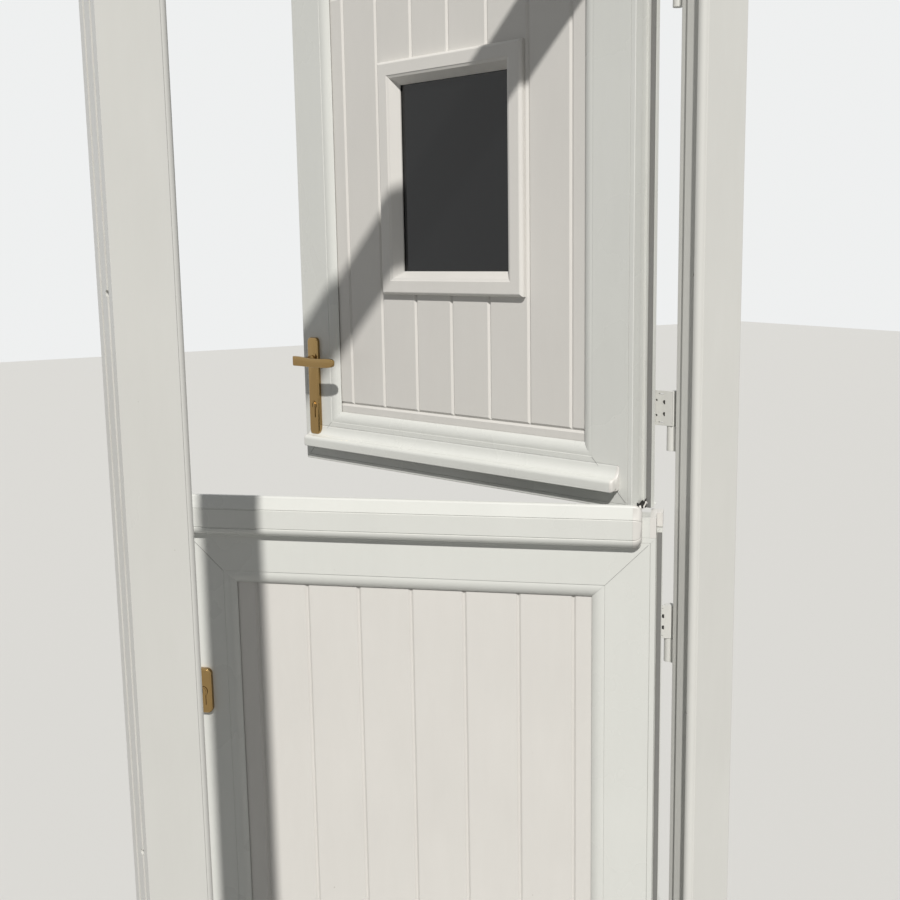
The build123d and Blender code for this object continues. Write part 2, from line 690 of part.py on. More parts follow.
# Top leaf
top_height = LEAF_HEAD - TOP_FOOT
top_stile_lock = member(sash_section, (-LEAF_HALF, 0, TOP_FOOT), (0, 0, 1), top_height, start="flush")
top_rail_head = member(sash_section, (-LEAF_HALF, 0, LEAF_HEAD), (1, 0, 0), leaf_width)
top_stile_hinge = member(sash_section, (LEAF_HALF, 0, LEAF_HEAD), (0, 0, -1), top_height, end="flush")
top_rail_foot = member(plain_sash_section, (LEAF_HALF, 0, TOP_FOOT), (-1, 0, 0), leaf_width)
top_hole = cylinder_hole(CYLINDER_Z)
through_hole = spindle_hole()
top_pocket = bolt_pocket(TOP_BOLTS_Z)
with top_stile_lock:
    add(top_hole.part, mode=Mode.SUBTRACT)
    add(through_hole.part, mode=Mode.SUBTRACT)
    add(top_pocket.part, mode=Mode.SUBTRACT)
store(top_stile_lock, "top_stile_lock", TOP_ANGLE)
store(top_rail_head, "top_rail_head", TOP_ANGLE)
store(top_stile_hinge, "top_stile_hinge", TOP_ANGLE)
store(top_rail_foot, "top_rail_foot", TOP_ANGLE)


# Panels, beads and gaskets
def panel_block(foot, top):
    """Plain infill board held all round by the sash."""
    edge = LEAF_HALF - SASH_REACH + PANEL_COVER
    with BuildPart() as board:
        with BuildSketch(elevation(PANEL_OUT)):
            box_sketch(-edge, foot + SASH_REACH - PANEL_COVER, edge, top - SASH_REACH + PANEL_COVER)
        extrude(amount=-PANEL_THICKNESS)
    return board


def grooves(low, high):
    """Cutter for the vertical vee grooves on both faces of a panel, evenly spaced about the middle."""
    first = GROOVE_SHIFT - GROOVE_PITCH * (GROOVE_COUNT - 1) / 2
    half = GROOVE_WIDTH / 2
    with BuildPart() as cutter:
        with BuildSketch(Plane.XY.offset(low)):
            for number in range(GROOVE_COUNT):
                place = first + number * GROOVE_PITCH
                Polygon((place - half, PANEL_OUT - STEP), (place + half, PANEL_OUT - STEP),
                        (place, PANEL_OUT + GROOVE_DEPTH), align=None)
                Polygon((place - half, PANEL_IN + STEP), (place, PANEL_IN - GROOVE_DEPTH),
                        (place + half, PANEL_IN + STEP), align=None)
        extrude(amount=high - low)
    return cutter


def dress_leaf(name, foot, top, angle):
    """Gaskets and inside beads of one leaf."""
    beads = four_sides(bead_section, -LEAF_HALF, foot, LEAF_HALF, top, gap=MITRE_GAP)
    with BuildPart() as inside_beads:
        for side in beads:
            add(side.part)
    store(inside_beads, f"{name}_inside_beads", angle)
    outer = ring(glazing_gasket_section, -LEAF_HALF, foot, LEAF_HALF, top)
    inner = ring(bead_gasket_section, -LEAF_HALF, foot, LEAF_HALF, top)
    with BuildPart() as gaskets:
        add(outer.part)
        add(inner.part)
    store(gaskets, f"{name}_glazing_gaskets", angle)


bottom_panel = panel_block(LEAF_FOOT, BOTTOM_TOP)
bottom_grooves = grooves(LEAF_FOOT, BOTTOM_TOP)
with bottom_panel:
    add(bottom_grooves.part, mode=Mode.SUBTRACT)
store(bottom_panel, "bottom_panel", BOTTOM_ANGLE)
dress_leaf("bottom", LEAF_FOOT, BOTTOM_TOP, BOTTOM_ANGLE)
dress_leaf("top", TOP_FOOT, LEAF_HEAD, TOP_ANGLE)

# Edge gaskets: three sides of each leaf, none at the meeting joint
bottom_edge_sides = [
    member(edge_gasket_section, (-LEAF_HALF, 0, LEAF_FOOT), (0, 0, 1), bottom_height, end="square"),
    member(edge_gasket_section, (LEAF_HALF, 0, BOTTOM_TOP), (0, 0, -1), bottom_height, start="square"),
    member(edge_gasket_section, (LEAF_HALF, 0, LEAF_FOOT), (-1, 0, 0), leaf_width),
]
with BuildPart() as bottom_edge_gasket:
    for side in bottom_edge_sides:
        add(side.part)
store(bottom_edge_gasket, "bottom_edge_gasket", BOTTOM_ANGLE)
top_edge_sides = [
    member(edge_gasket_section, (-LEAF_HALF, 0, TOP_FOOT), (0, 0, 1), top_height, start="square"),
    member(edge_gasket_section, (-LEAF_HALF, 0, LEAF_HEAD), (1, 0, 0), leaf_width),
    member(edge_gasket_section, (LEAF_HALF, 0, LEAF_HEAD), (0, 0, -1), top_height, end="square"),
]
with BuildPart() as top_edge_gasket:
    for side in top_edge_sides:
        add(side.part)
store(top_edge_gasket, "top_edge_gasket", TOP_ANGLE)

# Window
window_left = WINDOW_OFFSET - WINDOW_WIDTH / 2
window_right = WINDOW_OFFSET + WINDOW_WIDTH / 2
window_foot = TOP_FOOT + WINDOW_RISE
window_top = window_foot + WINDOW_HEIGHT
top_panel = panel_block(TOP_FOOT, LEAF_HEAD)
top_grooves = grooves(TOP_FOOT + SASH_REACH + BORDER_STRIP, LEAF_HEAD - SASH_REACH - BORDER_STRIP)
with BuildPart() as window_hole:
    with BuildSketch(elevation(PANEL_OUT)):
        box_sketch(window_left + CUTOUT_COVER, window_foot + CUTOUT_COVER,
                   window_right - CUTOUT_COVER, window_top - CUTOUT_COVER)
    extrude(amount=-PANEL_THICKNESS)
with top_panel:
    add(top_grooves.part, mode=Mode.SUBTRACT)
    add(window_hole.part, mode=Mode.SUBTRACT)
store(top_panel, "top_panel", TOP_ANGLE)

GLASS_OUT = LEAF_OUT + GLASS_RECESS + 1.0
GLASS_IN = GLASS_OUT + GLASS_UNIT


def outside_surround_section():
    """Outside window surround, proud of the panel and sloping down to the glass."""
    return surround_section(PANEL_OUT, PANEL_OUT - SURROUND_PROUD, GLASS_OUT)


def inside_surround_section():
    """Inside window surround, mirrored from the outside one."""
    shoulder = (5.0, PANEL_IN + SURROUND_PROUD + 10)
    with BuildSketch() as section:
        with BuildLine():
            Polyline((0, PANEL_IN), (0, PANEL_IN + SURROUND_PROUD + 6), shoulder)
            Polyline(
                shoulder,
                (SURROUND_FLAT, PANEL_IN + SURROUND_PROUD + 10),
                (SURROUND_WIDTH, GLASS_IN + 4),
                (SURROUND_WIDTH, GLASS_IN + 0.8),
                (SURROUND_LIP, GLASS_IN + 0.8),
                (SURROUND_LIP, PANEL_IN),
                (0, PANEL_IN),
            )
        make_face()
    return section.sketch


window_surround_outside = ring(outside_surround_section, window_left, window_foot, window_right, window_top)
store(window_surround_outside, "window_surround_outside", TOP_ANGLE)
window_surround_inside = ring(inside_surround_section, window_left, window_foot, window_right, window_top)
store(window_surround_inside, "window_surround_inside", TOP_ANGLE)

with BuildPart() as glass_panes:
    for pane_out in (GLASS_OUT, GLASS_IN - PANE_THICKNESS):
        with BuildSketch(elevation(pane_out)):
            box_sketch(window_left + GLASS_COVER, window_foot + GLASS_COVER,
                       window_right - GLASS_COVER, window_top - GLASS_COVER)
        extrude(amount=-PANE_THICKNESS)
store(glass_panes, "glass_panes", TOP_ANGLE)
with BuildPart() as glass_spacer:
    with BuildSketch(elevation(GLASS_OUT + PANE_THICKNESS)):
        box_sketch(window_left + GLASS_COVER, window_foot + GLASS_COVER,
                   window_right - GLASS_COVER, window_top - GLASS_COVER)
        inset = GLASS_COVER + SPACER_WIDTH
        box_sketch(window_left + inset, window_foot + inset,
                   window_right - inset, window_top - inset, mode=Mode.SUBTRACT)
    extrude(amount=-(GLASS_UNIT - 2 * PANE_THICKNESS))
store(glass_spacer, "glass_spacer", TOP_ANGLE)


# Meeting rail on the bottom leaf
def weather_bar_outline(grow=0.0):
    """Section of the weather bar: rounded foot, flat middle and a nose over the joint."""
    foot = MEETING_HEIGHT - BAR_HEIGHT - grow
    top = MEETING_HEIGHT + grow
    front = LEAF_OUT - BAR_PROUD - grow
    back = LEAF_OUT
    with BuildSketch() as section:
        with BuildLine():
            Polyline((back, foot + 3), (back, foot), (front + 9, foot))
            ThreePointArc((front + 9, foot), (front + 2.6, foot + 3.4), (front + 0.5, foot + 11))
            Polyline((front + 0.5, foot + 11), (front + 1, foot + 20.5), (front + 2.5, foot + 21.5),
                     (front + 2.5, top - 25), (front + 0.5, top - 24), (front, top - 9))
            ThreePointArc((front, top - 9), (front + 2.4, top - 2.6), (front + 9, top))
            Polyline((front + 9, top), (back - BAR_NOSE_GAP, top - 1.5), (back - BAR_NOSE_GAP, top - 24),
                     (back, top - 26), (back, foot + 3))
        make_face()
    return section.sketch


bar_half = LEAF_HALF - BAR_INSET
with BuildPart() as weather_bar:
    with BuildSketch(side_section(0)):
        add(weather_bar_outline())
        box_sketch(LEAF_OUT - BAR_PROUD + 5.5, MEETING_HEIGHT - BAR_HEIGHT + 22,
                   LEAF_OUT - WALL, MEETING_HEIGHT - 30, mode=Mode.SUBTRACT)
    extrude(amount=bar_half - BAR_CAP, both=True)
store(weather_bar, "weather_bar", BOTTOM_ANGLE)

with BuildPart() as weather_bar_caps:
    for side in (-1, 1):
        with BuildSketch(side_section(side * (bar_half - BAR_CAP))):
            add(weather_bar_outline(grow=0.5))
        extrude(amount=side * BAR_CAP)
    corner_edges = weather_bar_caps.edges().filter_by(Axis.Y).filter_by(
        lambda edge: abs(edge.center().X) > bar_half - 0.1)
    fillet(corner_edges, 5)
store(weather_bar_caps, "weather_bar_caps", BOTTOM_ANGLE)

adaptor_top = TOP_FOOT - ADAPTOR_TOP_GAP
adaptor_half = LEAF_HALF - BLOCK_LENGTH
flange_top = BOTTOM_TOP + FLANGE_OVERHANG
with BuildPart() as interlock_adaptor:
    with BuildSketch(side_section(0)):
        box_sketch(LEAF_OUT, BOTTOM_TOP, FLANGE_FRONT, adaptor_top)
        box_sketch(FLANGE_FRONT, flange_top, FLANGE_BACK, flange_top + WALL)
        box_sketch(LEAF_OUT + WALL, BOTTOM_TOP + WALL, GROOVE_Y - 6, adaptor_top - WALL, mode=Mode.SUBTRACT)
        box_sketch(GROOVE_Y - 4, BOTTOM_TOP + WALL, FLANGE_FRONT - WALL, adaptor_top - WALL, mode=Mode.SUBTRACT)
    extrude(amount=adaptor_half, both=True)
store(interlock_adaptor, "interlock_adaptor", BOTTOM_ANGLE)

with BuildPart() as interlock_seals:
    with BuildSketch(side_section(0)):
        with BuildLine():
            Polyline((GROOVE_Y - 4, adaptor_top), (GROOVE_Y + 4, adaptor_top), (GROOVE_Y + 1, TOP_FOOT - SEAL_GAP),
                     (GROOVE_Y - 1, TOP_FOOT - SEAL_GAP), (GROOVE_Y - 4, adaptor_top))
        make_face()
        seal_tip = LEAF_OUT - BAR_NOSE_GAP + SEAL_THICKNESS
        box_sketch(LEAF_OUT - BAR_NOSE_GAP, MEETING_HEIGHT - 14, seal_tip, MEETING_HEIGHT - 7)
    extrude(amount=bar_half - BAR_CAP, both=True)
store(interlock_seals, "interlock_seals", BOTTOM_ANGLE)

block_back = HINGE_Y - 12
with BuildPart() as interlock_blocks:
    for side in (-1, 1):
        inner = side * adaptor_half
        edge = side * LEAF_HALF
        tip = side * (LEAF_HALF + FLANGE_OVERHANG - 0.2)
        with BuildSketch(Plane.XY.offset(BOTTOM_TOP)):
            box_sketch(min(inner, edge), LEAF_OUT, max(inner, edge), FLANGE_FRONT)
        extrude(amount=adaptor_top - BOTTOM_TOP)
        with BuildSketch(Plane.XY.offset(flange_top)):
            box_sketch(min(inner, tip), FLANGE_FRONT - 1.5, max(inner, tip), block_back)
        extrude(amount=adaptor_top - flange_top)
store(interlock_blocks, "interlock_end_blocks", BOTTOM_ANGLE)


# Drip on the top leaf
def drip_outline():
    """Section of the drip: hollow-curved top, rounded nose and an undercut."""
    foot = MEETING_HEIGHT + DRIP_RISE
    top = foot + DRIP_HEIGHT
    front = LEAF_OUT - DRIP_PROUD
    with BuildSketch() as section:
        with BuildLine():
            Polyline((LEAF_OUT, foot + 4), (LEAF_OUT, top), (LEAF_OUT - 2, top))
            ThreePointArc((LEAF_OUT - 2, top), (LEAF_OUT - 6.5, top - 6), (front + 6, top - 9))
            ThreePointArc((front + 6, top - 9), (front + 1.4, top - 11.4), (front, top - 16))
            Polyline((front, top - 16), (front + 1, foot), (front + 4, foot), (front + 6, foot + 4),
                     (LEAF_OUT, foot + 4))
        make_face()
    return section.sketch


drip_left = -LEAF_HALF + DRIP_LOCK_INSET
drip_right = LEAF_HALF - DRIP_HINGE_INSET
with BuildPart() as drip:
    with BuildSketch(side_section(drip_left + DRIP_CAP)):
        add(drip_outline())
    extrude(amount=drip_right - drip_left - 2 * DRIP_CAP)
store(drip, "drip", TOP_ANGLE)
with BuildPart() as drip_caps:
    for place in (drip_left, drip_right - DRIP_CAP):
        with BuildSketch(side_section(place)):
            add(drip_outline())
        extrude(amount=DRIP_CAP)
store(drip_caps, "drip_caps", TOP_ANGLE)


# Lock furniture
def lock_plane(depth, height, facing=-1):
    """Plane on a leaf's face at the lock line."""
    return Plane(origin=(LOCK_X, depth, height), x_dir=(-facing, 0, 0), z_dir=(0, facing, 0))


def backplate(facing, height, with_lever):
    """Long plate or escutcheon with rounded edges and a hole for the cylinder."""
    face = LEAF_OUT if facing < 0 else LEAF_IN
    low = CYLINDER_Z - BACKPLATE_BELOW
    middle = low + BACKPLATE_HEIGHT / 2 if with_lever else BOTTOM_CYLINDER_Z
    cylinder = CYLINDER_Z if with_lever else BOTTOM_CYLINDER_Z
    with BuildPart() as plate:
        with BuildSketch(lock_plane(face, middle, facing)):
            RectangleRounded(PLATE_WIDTH, height, PLATE_WIDTH * 0.31)
        extrude(amount=BACKPLATE_PROUD)
        fillet(plate.faces().sort_by(Axis.Y)[0 if facing < 0 else -1].edges(), 3)
        with BuildSketch(lock_plane(face, cylinder, facing)):
            euro_profile(0.3)
        extrude(amount=BACKPLATE_PROUD, mode=Mode.SUBTRACT)
        if with_lever:
            with BuildSketch(lock_plane(face, LEVER_Z, facing)):
                Circle(NECK_RADIUS + BOLT_CLEARANCE)
            extrude(amount=BACKPLATE_PROUD, mode=Mode.SUBTRACT)
    return plate


def lever(facing):
    """Lever handle: a neck through the backplate and a flat rounded arm."""
    face = LEAF_OUT if facing < 0 else LEAF_IN
    away = face + facing * LEVER_STANDOFF
    reach = LEVER_LENGTH + LEVER_HEIGHT / 2
    shift = (reach / 2 - LEVER_HEIGHT / 2) * -facing
    with BuildPart() as handle:
        with BuildSketch(lock_plane(away, LEVER_Z, facing)):
            with Locations((shift, 0)):
                SlotOverall(reach, LEVER_HEIGHT)
        extrude(amount=LEVER_THICKNESS)
        outer_face = handle.faces().sort_by(Axis.Y)[0 if facing < 0 else -1]
        fillet(outer_face.edges(), 4)
        with BuildSketch(lock_plane(face + facing * 1.0, LEVER_Z, facing)):
            Circle(NECK_RADIUS)
        with BuildSketch(lock_plane(away, LEVER_Z, facing)):
            Circle(NECK_RADIUS - 2)
        loft()
        with BuildSketch(lock_plane(face, LEVER_Z, facing)):
            Rectangle(SPINDLE, SPINDLE)
        extrude(amount=LEVER_STANDOFF - 4, mode=Mode.SUBTRACT)
    return handle


store(backplate(-1, BACKPLATE_HEIGHT, True), "top_backplate_outside", TOP_ANGLE)
store(backplate(1, BACKPLATE_HEIGHT, True), "top_backplate_inside", TOP_ANGLE)
store(backplate(-1, ESCUTCHEON_HEIGHT, False), "bottom_escutcheon_outside", BOTTOM_ANGLE)
store(backplate(1, ESCUTCHEON_HEIGHT, False), "bottom_escutcheon_inside", BOTTOM_ANGLE)
store(lever(-1), "lever_outside", TOP_ANGLE)
store(lever(1), "lever_inside", TOP_ANGLE)
with BuildPart() as lever_spindle:
    with BuildSketch(lock_plane(LEAF_OUT - LEVER_STANDOFF + 4, LEVER_Z)):
        Rectangle(SPINDLE, SPINDLE)
    extrude(amount=-(LEAF_DEPTH + 2 * LEVER_STANDOFF - 8))
store(lever_spindle, "lever_spindle", TOP_ANGLE)

CYLINDER_FRONT = LEAF_OUT - BACKPLATE_PROUD - CYLINDER_PROUD
CYLINDER_SPAN = LEAF_DEPTH + 2 * BACKPLATE_PROUD + 2 * CYLINDER_PROUD


def cylinder_body(height):
    """Profile cylinder through the stile, bored for the plug at its outer end."""
    with BuildPart() as body:
        with BuildSketch(lock_plane(CYLINDER_FRONT, height)):
            euro_profile(0.0)
        extrude(amount=-CYLINDER_SPAN)
        with BuildSketch(lock_plane(CYLINDER_FRONT, height)):
            Circle(PLUG_RADIUS + PLUG_CLEARANCE)
        extrude(amount=-PLUG_LENGTH, mode=Mode.SUBTRACT)
    return body


def cylinder_plug(height):
    """Turning plug with its keyway."""
    with BuildPart() as plug:
        with BuildSketch(lock_plane(CYLINDER_FRONT - 0.6, height)):
            Circle(PLUG_RADIUS)
        extrude(amount=-(PLUG_LENGTH + 0.3))
        with BuildSketch(lock_plane(CYLINDER_FRONT - 0.6, height)):
            Rectangle(1.6, 8.5)
        extrude(amount=-12, mode=Mode.SUBTRACT)
    return plug


store(cylinder_body(CYLINDER_Z), "top_cylinder", TOP_ANGLE)
store(cylinder_body(BOTTOM_CYLINDER_Z), "bottom_cylinder", BOTTOM_ANGLE)
store(cylinder_plug(CYLINDER_Z), "top_cylinder_plug", TOP_ANGLE)
store(cylinder_plug(BOTTOM_CYLINDER_Z), "bottom_cylinder_plug", BOTTOM_ANGLE)


def bolts(heights):
    """Flat bolts, drawn back so that their noses are just inside the leaf's edge."""
    half = BOLT_THICKNESS / 2
    with BuildPart() as bars:
        with BuildSketch(Plane(origin=(-LEAF_HALF + BOLT_CLEARANCE, 0, 0), x_dir=(0, 1, 0), z_dir=(1, 0, 0))):
            for height in heights:
                box_sketch(GROOVE_Y - half, height - BOLT_HEIGHT / 2, GROOVE_Y + half, height + BOLT_HEIGHT / 2)
        extrude(amount=BOLT_LENGTH)
        chamfer(bars.faces().group_by(Axis.X)[0].edges().filter_by(Axis.Z), 1.5)
    return bars


def faceplate(heights, low, high):
    """Strip let into the leaf's edge groove with a slot for each bolt."""
    half = EDGE_GROOVE_WIDTH / 2 - 0.2
    bolt_half = BOLT_THICKNESS / 2 + BOLT_CLEARANCE
    with BuildPart() as strip:
        with BuildSketch(Plane(origin=(-LEAF_HALF + EDGE_GROOVE_DEPTH, 0, 0), x_dir=(0, 1, 0), z_dir=(-1, 0, 0))):
            with Locations((GROOVE_Y, -(low + high) / 2)):
                RectangleRounded(2 * half, high - low, half - 0.1)
            for height in heights:
                box_sketch(GROOVE_Y - bolt_half, -height - BOLT_HEIGHT / 2 - BOLT_CLEARANCE,
                           GROOVE_Y + bolt_half, -height + BOLT_HEIGHT / 2 + BOLT_CLEARANCE, mode=Mode.SUBTRACT)
        extrude(amount=FACEPLATE_THICKNESS)
    return strip


store(bolts(TOP_BOLTS_Z), "top_bolts", TOP_ANGLE)
store(bolts((BOTTOM_BOLT_Z,)), "bottom_bolt", BOTTOM_ANGLE)
store(faceplate(TOP_BOLTS_Z, TOP_FOOT + 60, TOP_BOLTS_Z[1] + 80), "top_faceplate", TOP_ANGLE)
store(faceplate((BOTTOM_BOLT_Z,), BOTTOM_BOLT_Z - 170, BOTTOM_BOLT_Z + 90), "bottom_faceplate", BOTTOM_ANGLE)

# Joining bolt on the inside, from the top leaf down into the bottom one
ROD_Y = LEAF_IN + ROD_STANDOFF
rod_tip = TOP_FOOT + ROD_TIP_GAP
case_foot = TOP_FOOT + CASE_RISE
with BuildPart() as joining_bolt_case:
    with BuildSketch(elevation(LEAF_IN)):
        box_sketch(JOINING_X - CASE_WIDTH / 2, case_foot, JOINING_X + CASE_WIDTH / 2, case_foot + CASE_HEIGHT, radius=4)
    extrude(amount=-CASE_THICKNESS)
    for low in (case_foot + GUIDE_INSET, case_foot + CASE_HEIGHT - GUIDE_INSET - GUIDE_HEIGHT):
        with BuildSketch(Plane.XY.offset(low)):
            box_sketch(JOINING_X - GUIDE_WIDTH / 2, LEAF_IN + CASE_THICKNESS,
                       JOINING_X + GUIDE_WIDTH / 2, ROD_Y + GUIDE_WIDTH / 2, radius=2)
        extrude(amount=GUIDE_HEIGHT)
        with BuildSketch(Plane.XY.offset(low)):
            with Locations((JOINING_X, ROD_Y)):
                Circle(JOINING_ROD + PLUG_CLEARANCE)
        extrude(amount=GUIDE_HEIGHT, mode=Mode.SUBTRACT)
store(joining_bolt_case, "joining_bolt_case", TOP_ANGLE)
with BuildPart() as joining_bolt:
    with BuildSketch(Plane.XY.offset(rod_tip)):
        with Locations((JOINING_X, ROD_Y)):
            Circle(JOINING_ROD)
    extrude(amount=ROD_LENGTH)
    chamfer(joining_bolt.edges().group_by(Axis.Z)[0], 1)
    with BuildSketch(Plane.XY.offset(rod_tip + ROD_LENGTH)):
        with Locations((JOINING_X, ROD_Y)):
            Circle(JOINING_ROD + 4)
    extrude(amount=ROD_HEAD)
    fillet(joining_bolt.edges().group_by(Axis.Z)[-1], 2)
store(joining_bolt, "joining_bolt", TOP_ANGLE)
with BuildPart() as joining_keep:
    keep_foot = BOTTOM_TOP - BEVEL_REACH - 4 - KEEP_BLOCK_HEIGHT
    with BuildSketch(Plane.XY.offset(keep_foot)):
        box_sketch(JOINING_X - KEEP_BLOCK / 2, LEAF_IN, JOINING_X + KEEP_BLOCK / 2, ROD_Y + 10, radius=2)
        with Locations((JOINING_X, ROD_Y)):
            Circle(JOINING_ROD + POCKET_CLEARANCE / 2, mode=Mode.SUBTRACT)
    extrude(amount=KEEP_BLOCK_HEIGHT)
store(joining_keep, "joining_bolt_keep", BOTTOM_ANGLE)
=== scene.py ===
import json
import math
from contextlib import contextmanager
from itertools import product

import bmesh
import bpy
from mathutils import Matrix, Vector


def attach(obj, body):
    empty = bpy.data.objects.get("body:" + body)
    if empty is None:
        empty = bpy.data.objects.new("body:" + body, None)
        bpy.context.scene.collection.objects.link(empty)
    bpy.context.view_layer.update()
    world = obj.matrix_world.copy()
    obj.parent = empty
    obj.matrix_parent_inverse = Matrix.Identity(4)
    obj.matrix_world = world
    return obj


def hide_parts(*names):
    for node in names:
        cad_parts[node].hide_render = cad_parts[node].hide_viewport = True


bl_info = {
    "name": "Stable Door Finish",
    "version": (1, 0, 0),
    "blender": (4, 5, 0),
    "location": "View3D > Sidebar > Stable Door",
    "description": "Finishes, furniture and stage for a two-leaf stable door",
    "category": "Object",
}

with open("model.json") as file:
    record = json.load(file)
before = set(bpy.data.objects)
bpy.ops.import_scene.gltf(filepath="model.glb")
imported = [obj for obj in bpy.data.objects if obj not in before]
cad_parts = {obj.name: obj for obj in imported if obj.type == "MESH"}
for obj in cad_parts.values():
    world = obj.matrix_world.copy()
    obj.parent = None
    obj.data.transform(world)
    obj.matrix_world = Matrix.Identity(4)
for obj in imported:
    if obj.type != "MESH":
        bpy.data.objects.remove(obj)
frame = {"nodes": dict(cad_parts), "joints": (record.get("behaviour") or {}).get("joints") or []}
NODES = frame["nodes"]
HINGE = next(j["pos_m"] for j in frame["joints"] if j["name"] == "bottom_leaf_hinge")


# Places that several pieces share, in metres, with both leaves shut

LEAF_HALF = 0.4015
LEAF_ENDS = {"bottom": (0.0305, 0.9924), "top": (1.0295, 2.0265)}
HINGE_HEIGHTS = {"bottom": (0.1885, 0.8344), "top": (1.1875, 1.8685)}
PLATE_ENDS = (1.0805, 1.2755)
PLATE_PROUD = 0.009


# Sizes and colours that a user may change

def a_colour(name, description, default):
    return bpy.props.FloatVectorProperty(
        name=name, description=description, default=default, subtype="COLOR", size=3,
        min=0, max=1)


def a_number(name, description, default, **kind):
    return bpy.props.FloatProperty(
        name=name, description=description, default=default, **kind)


def a_length(name, description, default):
    return a_number(name, description, default, unit="LENGTH")


def an_angle(name, description, degrees):
    return a_number(name, description, math.radians(degrees), subtype="ANGLE")


class StableDoorFinishes(bpy.types.PropertyGroup):
    """Colours of the door's materials"""

    frame_white: a_colour("Frame white", "Plastic of the outer frame", (0.70, 0.70, 0.67))
    sash_white: a_colour("Sash white", "Plastic of the leaves' profiles", (0.70, 0.71, 0.68))
    panel_white: a_colour("Panel white", "Skin of the grooved panels", (0.70, 0.685, 0.655))
    cap_white: a_colour("Cap white", "Moulded caps and the window surround", (0.72, 0.705, 0.675))
    # The grime colour also paints shade into inner corners, wherever ambient occlusion finds them
    # hemmed in
    grime_and_corner_shade: a_colour("Grime and corner shade", "Dust and grime in the corners", (0.2, 0.185, 0.15))
    dark_seal: a_colour("Dark seal", "Seals of the frame and meeting joint", (0.018, 0.018, 0.018))
    grey_seal: a_colour("Grey seal", "Seals of the leaves", (0.2, 0.2, 0.195))
    gold: a_colour("Gold", "Polished handles and cylinders", (0.36, 0.235, 0.095))
    zinc: a_colour("Zinc", "Bolts, keeps and faceplates", (0.56, 0.57, 0.57))
    mill_metal: a_colour("Mill metal", "Threshold", (0.62, 0.63, 0.63))
    # The pane's near-black tint is painted shade for the dark space seen through it
    pane_shade_tint: a_colour("Pane", "Colour seen through the panes", (0.02, 0.021, 0.022))


class StableDoorSizes(bpy.types.PropertyGroup):
    """Places and sizes of the pieces made here"""

    bottom_open: an_angle("Bottom leaf open", "Angle at which the bottom leaf stands", 40.3)
    top_open: an_angle("Top leaf open", "Angle at which the top leaf stands", 72.7)
    leaf_outside: a_length("Leaf outside", "Depth of the leaves' outer face when shut", -0.021)
    leaf_inside: a_length("Leaf inside", "Depth of the leaves' inner face when shut", 0.050)
    lock_place: a_length("Lock line", "Place of the lock line across the width when shut", -0.366)
    lever_height: a_length("Lever height", "Height of the lever's axis", 1.232)
    lever_reach: a_length("Lever reach", "Length of the lever's arm", 0.108)
    lever_standoff: a_length("Lever standoff", "Distance of the arm's middle from the leaf", 0.047)
    panel_outside: a_length("Panel outside", "Depth of the panels' outer face when shut", -0.0095)
    groove_width: a_length("Groove width", "Width of the panels' grooves", 0.0105)
    groove_depth: a_length("Groove depth", "Depth of the panels' grooves", 0.003)
    edge_softness: a_length("Edge softness", "Radius that softens the profiles' edges", 0.0007)


class StableDoorStage(bpy.types.PropertyGroup):
    """Camera, light and floor"""

    camera_place: bpy.props.FloatVectorProperty(
        name="Camera place", description="Place of the camera", subtype="TRANSLATION",
        unit="LENGTH", size=3, default=(-0.8035, -1.4357, 1.4450))
    camera_turn: an_angle("Camera turn", "Turn to the right of straight ahead", 28.731)
    camera_tilt: an_angle("Camera tilt", "Tilt below the horizon", 9.545)
    camera_roll: an_angle("Camera roll", "Roll to the left", 0.946)
    camera_lens: a_number("Lens", "Focal length on a 36 mm sensor, in millimetres", 47.9)
    key_turn: an_angle("Key turn", "Way the key light travels, right of straight ahead", 28.4)
    key_height: an_angle("Key height", "Height of the key light above the horizon", 42.0)
    key_strength: a_number("Key strength", "Strength of the key light", 3.5)
    key_size: an_angle("Key softness", "Angle that the key light fills", 1.6)
    fill_strength: a_number("Fill strength", "Strength of the surrounding light", 0.2)
    floor_colour: a_colour("Floor", "Colour of the floor and the backdrop", (0.76, 0.76, 0.745))


def finishes():
    return bpy.context.scene.stable_door_finishes


def sizes():
    return bpy.context.scene.stable_door_sizes


def stage():
    return bpy.context.scene.stable_door_stage


def tinted(colour, share):
    return [min(1.0, c * share) for c in colour]


# Shader nodes

def add_node(tree, kind, values=None, **settings):
    """New shader node with its settings; values gives its inputs a value or a socket to link."""
    node = tree.nodes.new(kind)
    for name, value in settings.items():
        setattr(node, name, value)
    for name, value in (values or {}).items():
        if isinstance(value, bpy.types.NodeSocket):
            tree.links.new(value, node.inputs[name])
        else:
            node.inputs[name].default_value = value
    return node


def maths(tree, operation, first, second):
    """Result of a sum on two numbers or sockets, kept between 0 and 1."""
    return add_node(tree, "ShaderNodeMath", {0: first, 1: second},
                    operation=operation, use_clamp=True).outputs[0]


def remap(tree, value, low, high, new_low=0.0, new_high=1.0):
    """Socket's value, clamped and moved from one range to another."""
    return add_node(tree, "ShaderNodeMapRange", {
        "Value": value, "From Min": low, "From Max": high,
        "To Min": new_low, "To Max": new_high}).outputs["Result"]


def mix_colours(tree, share, first, second):
    """Mix of two colours, each a socket or three numbers."""
    first, second = (c if isinstance(c, bpy.types.NodeSocket) else (*c, 1.0)
                     for c in (first, second))
    return add_node(tree, "ShaderNodeMixRGB", {
        "Fac": share, "Color1": first, "Color2": second}).outputs["Color"]


def object_place(tree):
    return add_node(tree, "ShaderNodeTexCoord").outputs["Object"]


# Stretch of a noise: small along the way that it runs
UPRIGHT = (1.0, 1.0, 0.01)
LEVEL = (0.02, 0.02, 1.0)
EVEN = (1.0, 1.0, 1.0)


def add_noise(tree, scale, detail, roughness=0.5, stretch=EVEN):
    along = add_node(tree, "ShaderNodeMapping", {"Vector": object_place(tree), "Scale": stretch})
    return add_node(tree, "ShaderNodeTexNoise", {
        "Vector": along.outputs["Vector"], "Scale": scale, "Detail": detail,
        "Roughness": roughness}).outputs["Fac"]


